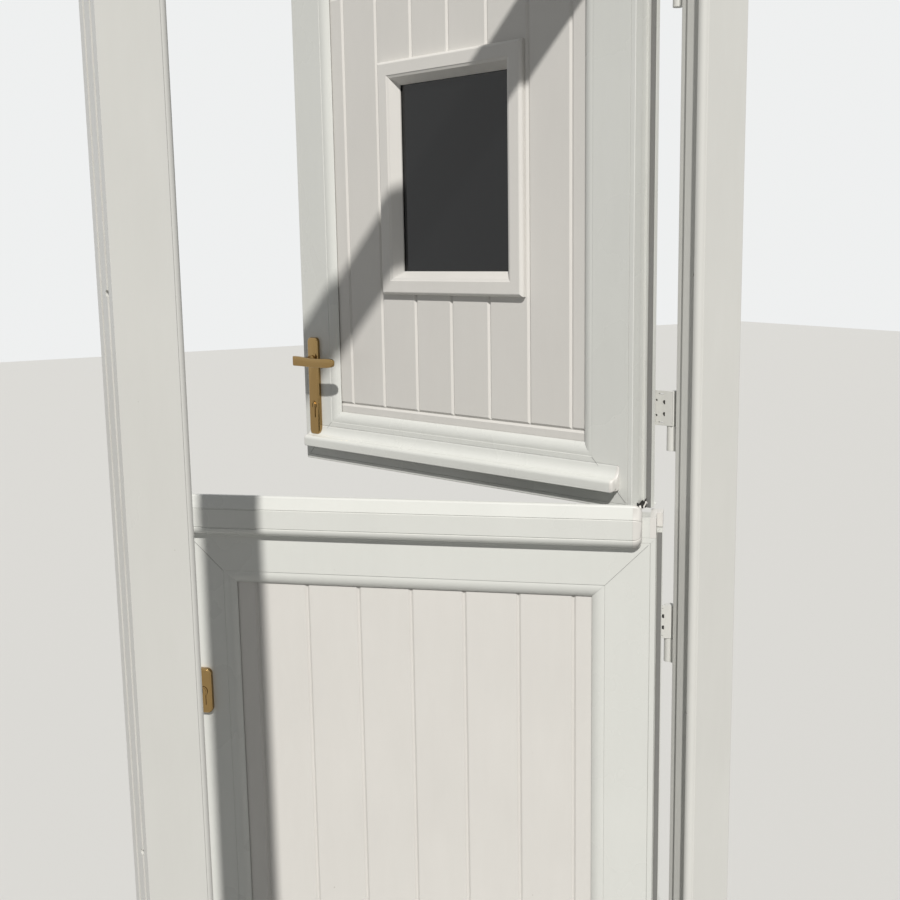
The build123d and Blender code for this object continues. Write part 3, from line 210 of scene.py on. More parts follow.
def start_group(name, inputs):
    """Empty shader group with named inputs, and the sockets that stand for them."""
    tree = bpy.data.node_groups.new(name, "ShaderNodeTree")
    for label, value in inputs.items():
        kind = "NodeSocketVector" if isinstance(value, tuple) else "NodeSocketFloat"
        socket = tree.interface.new_socket(name=label, in_out="INPUT", socket_type=kind)
        socket.default_value = value
    return tree, tree.nodes.new("NodeGroupInput").outputs


def finish_group(tree, outputs):
    """Give a group its named outputs, each fed by a socket."""
    for label, socket in outputs.items():
        kind = "NodeSocketVector" if socket.type == "VECTOR" else "NodeSocketFloat"
        tree.interface.new_socket(name=label, in_out="OUTPUT", socket_type=kind)
    add_node(tree, "NodeGroupOutput", outputs)


def edge_wear_group():
    """Mask that is high on outer edges, broken up by noise, and the softened normal."""
    tree, given = start_group("Edge wear", {"Radius": 0.0007, "Wear": 6.0, "Breakup": 90.0})
    soft = add_node(tree, "ShaderNodeBevel", {"Radius": given["Radius"]}, samples=4)
    sharp = add_node(tree, "ShaderNodeNewGeometry").outputs["Normal"]
    match = add_node(tree, "ShaderNodeVectorMath", {0: soft.outputs["Normal"], 1: sharp},
                     operation="DOT_PRODUCT").outputs["Value"]
    edge = maths(tree, "SUBTRACT", 1.0, match)
    broken = maths(tree, "MULTIPLY", edge, add_noise(tree, given["Breakup"], 3.0))
    finish_group(tree, {"Mask": maths(tree, "MULTIPLY", broken, given["Wear"]),
                        "Normal": soft.outputs["Normal"]})


def corner_shade_and_grime_group():
    """Mask of painted shade in inner corners, darkened by ambient occlusion, with a thin even film
    of grime and small specks.
    """
    tree, given = start_group(
        "Corner dust", {"Reach": 0.01, "Amount": 0.6, "Film": 0.05, "Specks": 0.0})
    # Painted shade: ambient occlusion darkens inner corners, grooves and recesses
    openness = add_node(tree, "ShaderNodeAmbientOcclusion", {"Distance": given["Reach"]},
                        samples=4).outputs["AO"]
    streaks = add_noise(tree, 3.0, 5.0, 0.65, (14.0, 14.0, 2.5))
    patch = remap(tree, streaks, 0.3, 0.75, 0.25, 1.0)
    corner = maths(tree, "MULTIPLY", remap(tree, openness, 0.6, 0.15), patch)
    corner = maths(tree, "MULTIPLY", corner, given["Amount"])
    film = maths(tree, "MULTIPLY", patch, given["Film"])
    cells = add_node(tree, "ShaderNodeTexVoronoi", {
        "Vector": object_place(tree), "Scale": 26.0}).outputs["Distance"]
    dots = remap(tree, cells, 0.035, 0.012)
    specks = maths(tree, "MULTIPLY", dots, remap(tree, streaks, 0.56, 0.66))
    specks = maths(tree, "MULTIPLY", specks, given["Specks"])
    dust = maths(tree, "ADD", corner, film)
    finish_group(tree, {"Mask": maths(tree, "ADD", dust, specks)})


def grain_group():
    """Fine relief of an extruded, moulded or brushed surface, and a slow unevenness."""
    tree, given = start_group("Surface grain", {"Stretch": EVEN, "Fineness": 300.0})
    fine = add_noise(tree, given["Fineness"], 4.0, 0.6, given["Stretch"])
    finish_group(tree, {"Height": fine, "Unevenness": add_noise(tree, 5.0, 3.0)})


def place_group(tree, name, values):
    """One of the shared groups placed in a material with its own values."""
    return add_node(tree, "ShaderNodeGroup", values,
                    node_tree=bpy.data.node_groups[name]).outputs


def new_material(name, values):
    """Material with only a Principled shader, which has the given values."""
    material = bpy.data.materials.new(name)
    material.use_nodes = True
    tree = material.node_tree
    tree.nodes.clear()
    shader = add_node(tree, "ShaderNodeBsdfPrincipled", values)
    add_node(tree, "ShaderNodeOutputMaterial", {"Surface": shader.outputs["BSDF"]})
    return material, tree, shader.inputs


SHADE_AND_GRIME_DULLS = 0.35     # how much the full mask of grime and painted corner shade adds to the roughness
DARK_TONE, PALE_TONE = 0.955, 1.03     # ends of the slow unevenness, as shares of the colour


def cover(names, material):
    """Give CAD nodes one material in each of their slots."""
    for name in names:
        node = NODES[name]
        if not node.material_slots:
            node.data.materials.append(material)
        for slot in node.material_slots:
            slot.material = material


def dress(names, material_name, colour, worn, roughness, spread, grain, relief, dust, wear,
          metallic=0.0, coat=0.0, softness=None):
    """Cover CAD nodes with a grained, uneven material, with grime and painted shade in corners and
    worn on edges.

    worn is a share of the colour or a colour of its own, grain is (stretch, fineness), relief
    the bump's depth in metres, dust (reach, amount, film, specks) for the painted corner shade and
    the grime, and wear (gain, breakup).
    """
    material, tree, shader = new_material(
        material_name, {"Metallic": metallic, "Coat Weight": coat, "Coat Roughness": 0.12})
    surface = place_group(tree, "Surface grain", {"Stretch": grain[0], "Fineness": grain[1]})
    soft = sizes().edge_softness if softness is None else softness
    edges = place_group(tree, "Edge wear", {"Radius": soft, "Wear": wear[0], "Breakup": wear[1]})
    labels = ("Reach", "Amount", "Film", "Specks")
    grime_and_corner_shade = place_group(tree, "Corner dust", dict(zip(labels, dust)))["Mask"]
    tone = mix_colours(tree, surface["Unevenness"], tinted(colour, DARK_TONE),
                       tinted(colour, PALE_TONE))
    if isinstance(worn, (int, float)):
        worn = tinted(colour, worn)
    tone = mix_colours(tree, edges["Mask"], tone, worn)
    # Mixes towards the grime colour, which paints shade into corners as well as laying grime
    tree.links.new(mix_colours(tree, grime_and_corner_shade, tone, finishes().grime_and_corner_shade), shader["Base Color"])
    gloss = remap(tree, surface["Unevenness"], 0.3, 0.7, roughness - spread, roughness + spread)
    dulled = maths(tree, "MULTIPLY", grime_and_corner_shade, SHADE_AND_GRIME_DULLS)
    tree.links.new(maths(tree, "ADD", gloss, dulled), shader["Roughness"])
    bump = add_node(tree, "ShaderNodeBump", {
        "Distance": relief, "Height": surface["Height"], "Normal": edges["Normal"]})
    tree.links.new(bump.outputs["Normal"], shader["Normal"])
    cover(names, material)


def glass_material(name, colour):
    """Pane tinted almost black, painted shade for the dark space behind it, with faint smears."""
    material, tree, shader = new_material(name, {
        "Base Color": (*colour, 1.0), "Transmission Weight": 0.8, "IOR": 1.5,
        "Specular IOR Level": 0.25})
    surface = place_group(tree, "Surface grain", {"Fineness": 9.0})
    tree.links.new(remap(tree, surface["Height"], 0.35, 0.8, 0.01, 0.09), shader["Roughness"])
    return material


# Modelling helpers

@contextmanager
def editing():
    """Edit mode on the active piece for the lines within."""
    bpy.ops.object.mode_set(mode="EDIT")
    yield
    bpy.ops.object.mode_set(mode="OBJECT")


def select_only(*pieces):
    """Deselect everything but these pieces, and make the first of them active."""
    bpy.ops.object.select_all(action="DESELECT")
    for piece in pieces:
        piece.select_set(True)
    if pieces:
        bpy.context.view_layer.objects.active = pieces[0]


def add_primitive(operator, name, scale=(1, 1, 1), **settings):
    """Named primitive with its size and place settled in its mesh."""
    select_only()
    operator(**settings)
    piece = bpy.context.object
    piece.name = piece.data.name = name
    piece.scale = scale
    settle(piece)
    return piece


def pick(piece, kind, wanted):
    """In edit mode, select only the faces or edges that pass the test."""
    shape = bmesh.from_edit_mesh(piece.data)
    for part in (shape.faces, shape.edges, shape.verts):
        for item in part:
            item.select = False
    for item in getattr(shape, kind):
        if wanted(item):
            item.select_set(True)
    bmesh.update_edit_mesh(piece.data)


def pick_faces(piece, wanted):
    """Select only the faces whose middle and normal pass the test."""
    pick(piece, "faces", lambda face: wanted(face.calc_center_median(), face.normal))


def pick_edges(piece, wanted):
    """Select only the edges whose two ends pass the test."""
    pick(piece, "edges", lambda edge: all(wanted(vertex.co) for vertex in edge.verts))


def move_points(piece, moved):
    """In edit mode, put each point of a piece where moved(number, point) says."""
    shape = bmesh.from_edit_mesh(piece.data)
    for number, vertex in enumerate(shape.verts):
        vertex.co = moved(number, vertex.co)
    bmesh.update_edit_mesh(piece.data)


def extrude(offset, scale=(1, 1, 1), middle=(0, 0, 0)):
    """Extrude the selected faces by an offset, then scale them about a middle."""
    bpy.ops.mesh.extrude_region_move(TRANSFORM_OT_translate={"value": offset})
    bpy.ops.transform.resize(value=scale, center_override=middle)


def turn_faces_out():
    bpy.ops.mesh.select_all(action="SELECT")
    bpy.ops.mesh.normals_make_consistent(inside=False)


def apply_modifier(piece, kind, **settings):
    modifier = piece.modifiers.new(kind.title(), kind)
    for name, value in settings.items():
        setattr(modifier, name, value)
    bpy.context.view_layer.objects.active = piece
    bpy.ops.object.modifier_apply(modifier=modifier.name)


def bevel_edges(piece, width, degrees):
    """Two-step bevel on the edges that are sharper than an angle."""
    apply_modifier(piece, "BEVEL", width=width, segments=2, limit_method="ANGLE",
                   angle_limit=math.radians(degrees))


def cut(piece, cutter):
    apply_modifier(piece, "BOOLEAN", operation="DIFFERENCE", object=cutter, solver="EXACT")
    bpy.data.objects.remove(cutter)


def settle(piece, matrix=None):
    """Put a piece's place into its mesh, after an optional turn."""
    if matrix is not None:
        piece.matrix_world = matrix @ piece.matrix_world
    select_only(piece)
    bpy.ops.object.transform_apply(location=True, rotation=True, scale=True)


def smooth(piece, degrees):
    select_only(piece)
    bpy.ops.object.shade_smooth_by_angle(angle=math.radians(degrees))


def join_pieces(pieces, name):
    select_only(*pieces)
    bpy.ops.object.join()
    pieces[0].name = pieces[0].data.name = name
    return pieces[0]


def leaf_turn(leaf):
    """Turn about the hinge line from shut to where the bottom or top leaf stands."""
    stands = getattr(sizes(), f"{leaf}_open")
    pivot = Matrix.Translation((HINGE[0], HINGE[1], 0.0))
    return pivot @ Matrix.Rotation(-stands, 4, "Z") @ pivot.inverted()


def finish_piece(piece, material, body, nodes=()):
    """Material, body and slot of a new piece, and the nodes it stands for."""
    piece.data.materials.clear()
    piece.data.materials.append(bpy.data.materials[material])
    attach(piece, body)
    if nodes:
        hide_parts(*nodes)


def hang(piece, leaf, material, nodes=(), degrees=None):
    """Turn a piece with its leaf, or leave it on the frame; smooth its edges up to an angle."""
    settle(piece, leaf and leaf_turn(leaf))
    if degrees:
        smooth(piece, degrees)
    finish_piece(piece, material, f"{leaf}_leaf" if leaf else "frame", nodes)


def box_piece(name, low, high):
    """Block between two corners, in metres."""
    return add_primitive(
        bpy.ops.mesh.primitive_cube_add, name, [b - a for a, b in zip(low, high)], size=1,
        location=[(a + b) / 2 for a, b in zip(low, high)])


# Finishes of the CAD's own parts

class STABLEDOOR_OT_shared_groups(bpy.types.Operator):
    """Build the shader groups that the materials share"""

    bl_idname = "stable_door.shared_groups"
    bl_label = "Shared groups"

    def execute(self, context):
        edge_wear_group()
        corner_shade_and_grime_group()
        grain_group()
        return {"FINISHED"}


class STABLEDOOR_OT_frame_finish(bpy.types.Operator):
    """Finish the outer frame and its threshold"""

    bl_idname = "stable_door.frame_finish"
    bl_label = "Frame finish"

    def execute(self, context):
        look = dict(colour=finishes().frame_white, worn=0.9, roughness=0.3, spread=0.05,
                    relief=0.00004, dust=(0.012, 0.75, 0.05, 0.5), wear=(0.8, 60.0), coat=0.1)
        dress(("jamb_lock", "jamb_hinge"), "frame plastic, upright", grain=(UPRIGHT, 260.0),
              **look)
        dress(("head",), "frame plastic, level", grain=(LEVEL, 260.0), **look)
        dress(("threshold",), "mill finished threshold", finishes().mill_metal, 1.15,
              roughness=0.38, spread=0.08, grain=(LEVEL, 700.0), relief=0.00008,
              dust=(0.01, 0.6, 0.15, 1.0), wear=(5.0, 120.0), metallic=1.0)
        return {"FINISHED"}


class STABLEDOOR_OT_leaf_finish(bpy.types.Operator):
    """Finish the leaves' profiles, beads and meeting rail"""

    bl_idname = "stable_door.leaf_finish"
    bl_label = "Leaf finish"

    def execute(self, context):
        look = dict(colour=finishes().sash_white, worn=0.9, roughness=0.28, spread=0.05,
                    relief=0.00004, dust=(0.011, 0.6, 0.04, 0.6), wear=(0.8, 60.0), coat=0.12)
        dress(("bottom_stile_lock", "bottom_stile_hinge", "top_stile_lock", "top_stile_hinge"),
              "sash plastic, upright", grain=(UPRIGHT, 260.0), **look)
        dress(("bottom_rail_top", "bottom_rail_foot", "top_rail_head", "top_rail_foot",
               "weather_bar", "drip", "interlock_adaptor"),
              "sash plastic, level", grain=(LEVEL, 260.0), **look)
        dress(("bottom_inside_beads", "top_inside_beads"), "bead plastic",
              grain=(EVEN, 300.0), **look)
        cap = finishes().cap_white
        dress(("weather_bar_caps", "drip_caps", "interlock_end_blocks"), "moulded cap plastic",
              cap, 0.9, roughness=0.4, spread=0.06, grain=(EVEN, 900.0), relief=0.00005,
              dust=(0.008, 0.5, 0.05, 0.5), wear=(1.0, 80.0))
        dress(("window_surround_outside", "window_surround_inside"), "window surround plastic",
              cap, 0.92, roughness=0.36, spread=0.06, grain=(EVEN, 700.0), relief=0.00004,
              dust=(0.012, 0.65, 0.05, 0.6), wear=(0.8, 80.0), coat=0.05)
        return {"FINISHED"}


class STABLEDOOR_OT_panel_finish(bpy.types.Operator):
    """Finish the grooved panels with a fine embossed skin"""

    bl_idname = "stable_door.panel_finish"
    bl_label = "Panel finish"

    def execute(self, context):
        look = dict(colour=finishes().panel_white, worn=0.93, roughness=0.42, spread=0.06,
                    grain=(EVEN, 1100.0), relief=0.00006, wear=(0.6, 50.0))
        dress(("bottom_panel",), "bottom panel skin", dust=(0.005, 0.45, 0.05, 0.8), **look)
        dress(("top_panel",), "top panel skin", dust=(0.005, 0.4, 0.04, 0.4), **look)
        return {"FINISHED"}


class STABLEDOOR_OT_seal_finish(bpy.types.Operator):
    """Finish the seals and the glazing gaskets"""

    bl_idname = "stable_door.seal_finish"
    bl_label = "Seal finish"

    def execute(self, context):
        look = dict(spread=0.08, grain=(EVEN, 500.0), relief=0.0001, wear=(2.0, 90.0),
                    softness=0.0005)
        dress(("frame_nose_gasket", "interlock_seals", "bottom_glazing_gaskets",
               "top_glazing_gaskets"), "dark seal", finishes().dark_seal, 3, roughness=0.62,
              dust=(0.01, 0.25, 0.12, 0.6), **look)
        dress(("bottom_edge_gasket", "top_edge_gasket"), "grey seal", finishes().grey_seal, 1.5,
              roughness=0.66, dust=(0.01, 0.3, 0.1, 0.6), **look)
        return {"FINISHED"}


class STABLEDOOR_OT_metal_finish(bpy.types.Operator):
    """Finish hinges, bolts, keeps, faceplates, handles and panes"""

    bl_idname = "stable_door.metal_finish"
    bl_label = "Metal and glass finish"

    def execute(self, context):
        zinc = finishes().zinc
        dress(("keep_top", "keep_bottom", "hinge_pins", "bottom_faceplate", "top_faceplate",
               "top_bolts", "bottom_bolt", "glass_spacer", "lever_spindle"),
              "zinc plated steel", zinc, 1.2, roughness=0.34, spread=0.1,
              grain=(UPRIGHT, 1400.0), relief=0.00006, dust=(0.006, 0.35, 0.08, 0.6),
              wear=(6.0, 140.0), metallic=1.0)
        dress(("hinge_brackets_top", "hinge_brackets_bottom", "top_hinge_plates",
               "bottom_hinge_plates"), "hinge powder coat", finishes().frame_white, zinc,
              roughness=0.42, spread=0.06, grain=(EVEN, 900.0), relief=0.00012,
              dust=(0.006, 0.7, 0.08, 1.0), wear=(4.0, 160.0), softness=0.0005)
        dress(("bottom_cylinder", "bottom_escutcheon_outside", "bottom_escutcheon_inside",
               "top_backplate_outside", "top_backplate_inside", "top_cylinder",
               "joining_bolt_case", "joining_bolt_keep", "joining_bolt",
               "top_cylinder_plug", "bottom_cylinder_plug"),
              "polished gold", finishes().gold, 1.35, roughness=0.13, spread=0.05,
              grain=(UPRIGHT, 900.0), relief=0.00003, dust=(0.006, 0.6, 0.06, 0.8),
              wear=(5.0, 140.0), metallic=1.0, softness=0.0004)
        cover(("glass_panes",), glass_material("pane", finishes().pane_shade_tint))
        return {"FINISHED"}


# Lever handles and backplate

NECK_RADIUS, NECK_FOOT = 0.0086, 0.004
NECK_START = 0.0095     # from the leaf's face to the middle of the neck's foot
ARM_SECTION = (0.016, 0.0104, 0.0195)
ARM_START = 0.008     # length of the arm before its first step

# Steps of the neck: how far out, and the scale of the ring there
NECK_STEPS = ((0.0015, 0.86), (0.008, 0.82), (0.014, 0.95), (0.007, 1.08), (0.003, 0.7))

# Steps of the arm: share of its run, away from the leaf, up, scale of its height and depth
ARM_STEPS = (
    (0.16, 0.0, -0.0006, 0.93, 0.95), (0.22, 0.0004, -0.0012, 0.93, 0.96),
    (0.24, 0.0003, 0.0006, 1.03, 0.97), (0.2, -0.0006, 0.0012, 1.04, 0.97),
    (0.1, -0.0016, 0.0004, 0.95, 0.92), (0.05, -0.0012, 0.0, 0.78, 0.8),
    (0.03, -0.0008, 0.0, 0.55, 0.6))


def make_lever(name, facing):
    """Lever: a turned neck and a tapered arm that sweeps back towards the leaf at its end."""
    size = sizes()
    face = size.leaf_outside if facing < 0 else size.leaf_inside
    reached = NECK_START
    neck = add_primitive(
        bpy.ops.mesh.primitive_cylinder_add, name, vertices=32, radius=NECK_RADIUS,
        depth=NECK_FOOT, rotation=(math.radians(90), 0, 0),
        location=(size.lock_place, face + facing * reached, size.lever_height))
    with editing():
        for step, scale in NECK_STEPS:
            pick_faces(neck, lambda middle, normal: normal.y * facing > 0.9
                       and (middle.y - face) * facing > reached)
            extrude((0, facing * step, 0), (scale, 1, scale),
                    (size.lock_place, face, size.lever_height))
            reached += step
    end = Vector((size.lock_place, face + facing * size.lever_standoff, size.lever_height))
    arm = add_primitive(bpy.ops.mesh.primitive_cube_add, name + "_arm", ARM_SECTION, size=1,
                        location=end)
    run = size.lever_reach - ARM_START
    with editing():
        for share, away, rise, height, depth in ARM_STEPS:
            step = Vector((run * share, facing * away, rise))
            end += step
            pick_faces(arm, lambda middle, normal: normal.x > 0.9)
            extrude(step, (1, depth, height), end)
        turn_faces_out()
    bevel_edges(arm, 0.0022, 50)
    apply_modifier(arm, "SUBSURF", levels=2)
    bevel_edges(neck, 0.0006, 35)
    lever = join_pieces([neck, arm], name)
    settle(lever, leaf_turn("top"))
    smooth(lever, 50)
    return lever


class STABLEDOOR_OT_levers(bpy.types.Operator):
    """Model the lever handles outside and inside"""

    bl_idname = "stable_door.levers"
    bl_label = "Lever handles"

    def execute(self, context):
        for side, facing in (("outside", -1), ("inside", 1)):
            lever = make_lever(f"turned_lever_{side}", facing)
            finish_piece(lever, "polished gold", "top_lever", (f"lever_{side}",))
        return {"FINISHED"}


class STABLEDOOR_OT_backplate(bpy.types.Operator):
    """Model the outside backplate with its rounded flanks"""

    bl_idname = "stable_door.backplate"
    bl_label = "Backplate"

    def execute(self, context):
        face, lock = sizes().leaf_outside, sizes().lock_place
        half, (foot, top) = 0.0148, PLATE_ENDS
        middle = (foot + top) / 2
        plate = box_piece("domed_backplate", (lock - half, face - PLATE_PROUD, foot),
                          (lock + half, face, top))
        with editing():
            for side, up in product((-1, 1), (-1, 1)):
                pick_edges(plate, lambda p: (p.x - lock) * side > half / 2
                           and (p.z - middle) * up > (top - foot) / 4)
                bpy.ops.mesh.bevel(offset=0.009, segments=6)
            pick_edges(plate, lambda p: p.y < face - PLATE_PROUD + 0.0001)
            bpy.ops.mesh.bevel(offset=0.005, segments=5)
        hang(plate, "top", "polished gold", ("top_backplate_outside",), 35)
        return {"FINISHED"}


# Drip and weather bar: sections in millimetres, as how far out of the leaf's face and how high

def arc(middle, radii, first, last, steps):
    """Points of an arc in a section, between two angles in degrees."""
    turns = [math.radians(first + (last - first) * n / steps) for n in range(steps + 1)]
    return [(middle[0] + radii[0] * math.cos(turn), middle[1] + radii[1] * math.sin(turn))
            for turn in turns]


DRIP_COVE, DRIP_TOP, DRIP_NOSE = (13.5, 21.0), 1079.5, 7.5
DRIP_OUTLINE = (
    arc((DRIP_COVE[0], DRIP_TOP + DRIP_COVE[1]), DRIP_COVE, 180, 268, 12)
    + arc((DRIP_COVE[0], DRIP_TOP - DRIP_NOSE), (DRIP_NOSE, DRIP_NOSE), 88, 0, 9)
    + [(21, 1059.3), (20.2, 1058.5), (13, 1058.5), (13, 1061.5), (7, 1061.5), (7, 1058.5),
       (0, 1058.5)])
DRIP_LEFT, DRIP_RIGHT, DRIP_CAP = -0.387, 0.377, 0.005
BAR_OUTLINE = (
    [(0, 975.2), (6.6, 975.2), (7.2, 975.9), (7.2, 978.6)]
    + arc((6.7, 990.3), (12.0, 12.0), -84, 0, 10)
    + [(18.7, 990.3), (17.5, 990.8), (17.5, 991.9), (18.5, 992.5), (18.5, 1022.5),
       (17.5, 1023.0), (17.5, 1024.0), (18.3, 1024.5), (12.9, 1042.6)]
    + arc((9.0, 1041.5), (4.1, 4.5), 16, 90, 6)
    + [(4.2, 1045.8), (3.2, 1044.8), (3.2, 1026), (0, 1024)])
BAR_CAP_OUTLINE = [(out * 1.015 + 0.1 if out > 4 else out, up) for out, up in BAR_OUTLINE]
BAR_HALF, BAR_CAP = 0.380, 0.014
END_STEPS, END_TURN = 7, 84     # steps of a cap's rounded end, and the degrees that they turn


def profile_length(name, outline, left, right, closed=((1.0, 1.0, 1.0),)):
    """Extrude a section across the width, with an optional rounded end.

    closed holds (share of the length, scale out, scale up) for each step.
    """
    face = sizes().leaf_outside
    piece = add_primitive(bpy.ops.mesh.primitive_circle_add, name, vertices=len(outline),
                          radius=1, fill_type="NGON")
    heights = [up for out, up in outline]
    middle = (0.0, face, (min(heights) + max(heights)) / 2000)
    points = [(left, face - out / 1000, up / 1000) for out, up in outline]
    before = (0.0, 1.0, 1.0)
    with editing():
        move_points(piece, lambda number, point: points[number])
        bpy.ops.mesh.select_all(action="SELECT")
        for share, out, up in closed:
            extrude(((right - left) * (share - before[0]), 0, 0),
                    (1, out / before[1], up / before[2]), middle)
            before = (share, out, up)
        turn_faces_out()
    return piece


def rounded_end(out_loss, up_loss):
    """Steps of an end that rounds off, losing a share of its depth and height."""
    turns = [math.radians(END_TURN * (n + 1) / END_STEPS) for n in range(END_STEPS)]
    return [(math.sin(turn), 1 - out_loss * (1 - math.cos(turn)),
             1 - up_loss * (1 - math.cos(turn))) for turn in turns]


def profile_caps(name, outline, left, right, cap, closed):
    """Rounded caps at the left and right end of a profile, as one piece."""
    return join_pieces([profile_length(name + "_left", outline, left + cap, left, closed),
                        profile_length(name + "_right", outline, right - cap, right, closed)], name)


class STABLEDOOR_OT_drip(bpy.types.Operator):
    """Model the drip at the foot of the top leaf, coved into its face, and its end caps"""

    bl_idname = "stable_door.drip"
    bl_label = "Drip"

    def execute(self, context):
        drip = profile_length("coved_drip", DRIP_OUTLINE, DRIP_LEFT + DRIP_CAP,
                              DRIP_RIGHT - DRIP_CAP)
        hang(drip, "top", "sash plastic, level", ("drip",), 30)
        caps = profile_caps("drip_end_caps", DRIP_OUTLINE, DRIP_LEFT, DRIP_RIGHT, DRIP_CAP,
                            rounded_end(0.3, 0.18))
        hang(caps, "top", "moulded cap plastic", ("drip_caps",), 40)
        return {"FINISHED"}


class STABLEDOOR_OT_weather_bar(bpy.types.Operator):
    """Model the weather bar of the bottom leaf with its sloping top band and rounded caps"""

    bl_idname = "stable_door.weather_bar"
    bl_label = "Weather bar"

    def execute(self, context):
        bar = profile_length("banded_weather_bar", BAR_OUTLINE, BAR_CAP - BAR_HALF,
                             BAR_HALF - BAR_CAP)
        hang(bar, "bottom", "sash plastic, level", ("weather_bar",), 25)
        caps = profile_caps("weather_bar_end_caps", BAR_CAP_OUTLINE, -BAR_HALF, BAR_HALF, BAR_CAP,
                            rounded_end(0.5, 0.4))
        hang(caps, "bottom", "moulded cap plastic", ("weather_bar_caps",), 35)
        return {"FINISHED"}


# Grooved panels

PANEL_HALF, PANEL_THICKNESS = 0.3195, 0.028
GROOVE_COUNT, GROOVE_SPACING, GROOVE_SHIFT = 7, 0.0898, 0.0018
GROOVE_FOOT = 0.1     # share of a groove's width that is left at its foot
PAST_EDGE = 0.01     # how far a cutter runs past the panel's edge
TOP_BORDERS = (1.147, 1.909)
OPENING = ((-0.139, -0.05, 1.391), (0.147, 0.05, 1.7505))


def groove_cutter(start, end, outward, face):
    """Vee cutter from start to end on a panel's face, which looks along outward Y."""
    size = sizes()
    half, depth = size.groove_width / 2, size.groove_depth
    low = [min(a, b) - half * (a == b) for a, b in zip(start, end)]
    high = [max(a, b) + half * (a == b) for a, b in zip(start, end)]
    near, far = sorted((face - outward * depth, face + outward * 0.001))
    cutter = box_piece("groove_cutter", (low[0], near, low[1]), (high[0], far, high[1]))
    upright = start[0] == end[0]
    with editing():
        pick_faces(cutter, lambda middle, normal: normal.y * outward < -0.9)
        bpy.ops.transform.resize(
            value=(GROOVE_FOOT, 1, 1) if upright else (1, 1, GROOVE_FOOT),
            center_override=((low[0] + high[0]) / 2, 0, (low[1] + high[1]) / 2))
    return cutter


def make_panel(name, foot, top, borders):
    """Panel with upright grooves on both faces, and grooves across at the borders' heights."""
    out = sizes().panel_outside
    back = out + PANEL_THICKNESS
    panel = box_piece(name, (-PANEL_HALF, out, foot), (PANEL_HALF, back, top))
    low, high = borders or (foot - PAST_EDGE, top + PAST_EDGE)
    side = PANEL_HALF + PAST_EDGE
    places = [GROOVE_SHIFT + GROOVE_SPACING * (number - GROOVE_COUNT // 2)
              for number in range(GROOVE_COUNT)]
    runs = [((place, low), (place, high)) for place in places]
    runs += [((-side, height), (side, height)) for height in borders]
    for face, outward in ((out, -1), (back, 1)):
        for cutter in [groove_cutter(start, end, outward, face) for start, end in runs]:
            cut(panel, cutter)
    return panel


class STABLEDOOR_OT_panels(bpy.types.Operator):
    """Model both panels with their wide routed grooves and the window's opening"""

    bl_idname = "stable_door.panels"
    bl_label = "Panels"

    def execute(self, context):
        bottom = make_panel("routed_bottom_panel", 0.1125, 0.9104, ())
        top = make_panel("routed_top_panel", 1.1115, 1.9445, TOP_BORDERS)
        cut(top, box_piece("opening_cutter", *OPENING))
        for leaf, panel in (("bottom", bottom), ("top", top)):
            hang(panel, leaf, f"{leaf} panel skin", (f"{leaf}_panel",))
        return {"FINISHED"}


# Small pieces on the leaves and the frame

MITRE_REACH = 0.0797     # width of the profiles that meet at a corner
MITRE_START = 0.0165     # from the corner to the start of the line, along the diagonal
MITRE_HALF = (0.00012, 0.0003)


class STABLEDOOR_OT_mitre_lines(bpy.types.Operator):
    """Model the fine seam lines where the leaves' profiles are welded at the corners"""

    bl_idname = "stable_door.mitre_lines"
    bl_label = "Mitre lines"

    def execute(self, context):
        faces = ((sizes().leaf_outside, -1), (sizes().leaf_inside, 1))
        end_of_line = MITRE_REACH * math.sqrt(2) - 0.001
        for leaf, (foot, top) in LEAF_ENDS.items():
            lines = []
            for (face, outward), side, (end, way) in product(
                    faces, (-1, 1), ((foot, 1), (top, -1))):
                line = box_piece(f"{leaf}_line", (-MITRE_HALF[0], -MITRE_HALF[1], MITRE_START),
                                 (*MITRE_HALF, end_of_line))
                corner = Matrix.Translation((side * LEAF_HALF, face + outward * 0.00022, end))
                lean = Matrix.Rotation(-side * way * math.radians(45), 4, "Y")
                line.matrix_world = corner @ lean @ Matrix.Diagonal((1, 1, way, 1))
                settle(line)
                lines.append(line)
            joined = join_pieces(lines, f"{leaf}_mitre_lines")
            with editing():
                turn_faces_out()
            hang(joined, leaf, "grey seal")
        return {"FINISHED"}


SCREW_HEIGHT = 0.0016
SCREW_TURN, SCREW_FIRST_TURN = 37, 12     # turn of each next recess, in degrees


def make_screw():
    """Pan-head screw of unit radius, facing +Z, with a cross recess."""
    screw = add_primitive(bpy.ops.mesh.primitive_cylinder_add, "screw_pattern", vertices=20,
                          radius=1.0, depth=0.5, location=(0, 0, 0))
    with editing():
        pick_faces(screw, lambda middle, normal: normal.z > 0.9)
        for step, scale in ((0.16, 0.86), (0.06, 0.6)):
            extrude((0, 0, step), (scale, scale, 1))
    for turn in (0, 90):
        cut(screw, add_primitive(
            bpy.ops.mesh.primitive_cube_add, "recess_cutter", (1.05, 0.24, 0.5), size=1,
            location=(0, 0, 0.42), rotation=(0, 0, math.radians(turn))))
    return screw


def copy_screws(pattern, name, places, toward):
    """Copies of the screw at (x, y, z, radius), facing one way and joined."""
    copies = []
    facing = Vector(toward).to_track_quat("Z", "Y").to_matrix().to_4x4()
    for number, (*place, radius) in enumerate(places):
        copy = pattern.copy()
        copy.data = pattern.data.copy()
        bpy.context.scene.collection.objects.link(copy)
        spin = Matrix.Rotation(math.radians(SCREW_TURN * number + SCREW_FIRST_TURN), 4, "Z")
        scale = Matrix.Diagonal((radius, radius, SCREW_HEIGHT, 1.0))
        copy.matrix_world = Matrix.Translation(place) @ facing @ spin @ scale
        settle(copy)
        copies.append(copy)
    return join_pieces(copies, name)


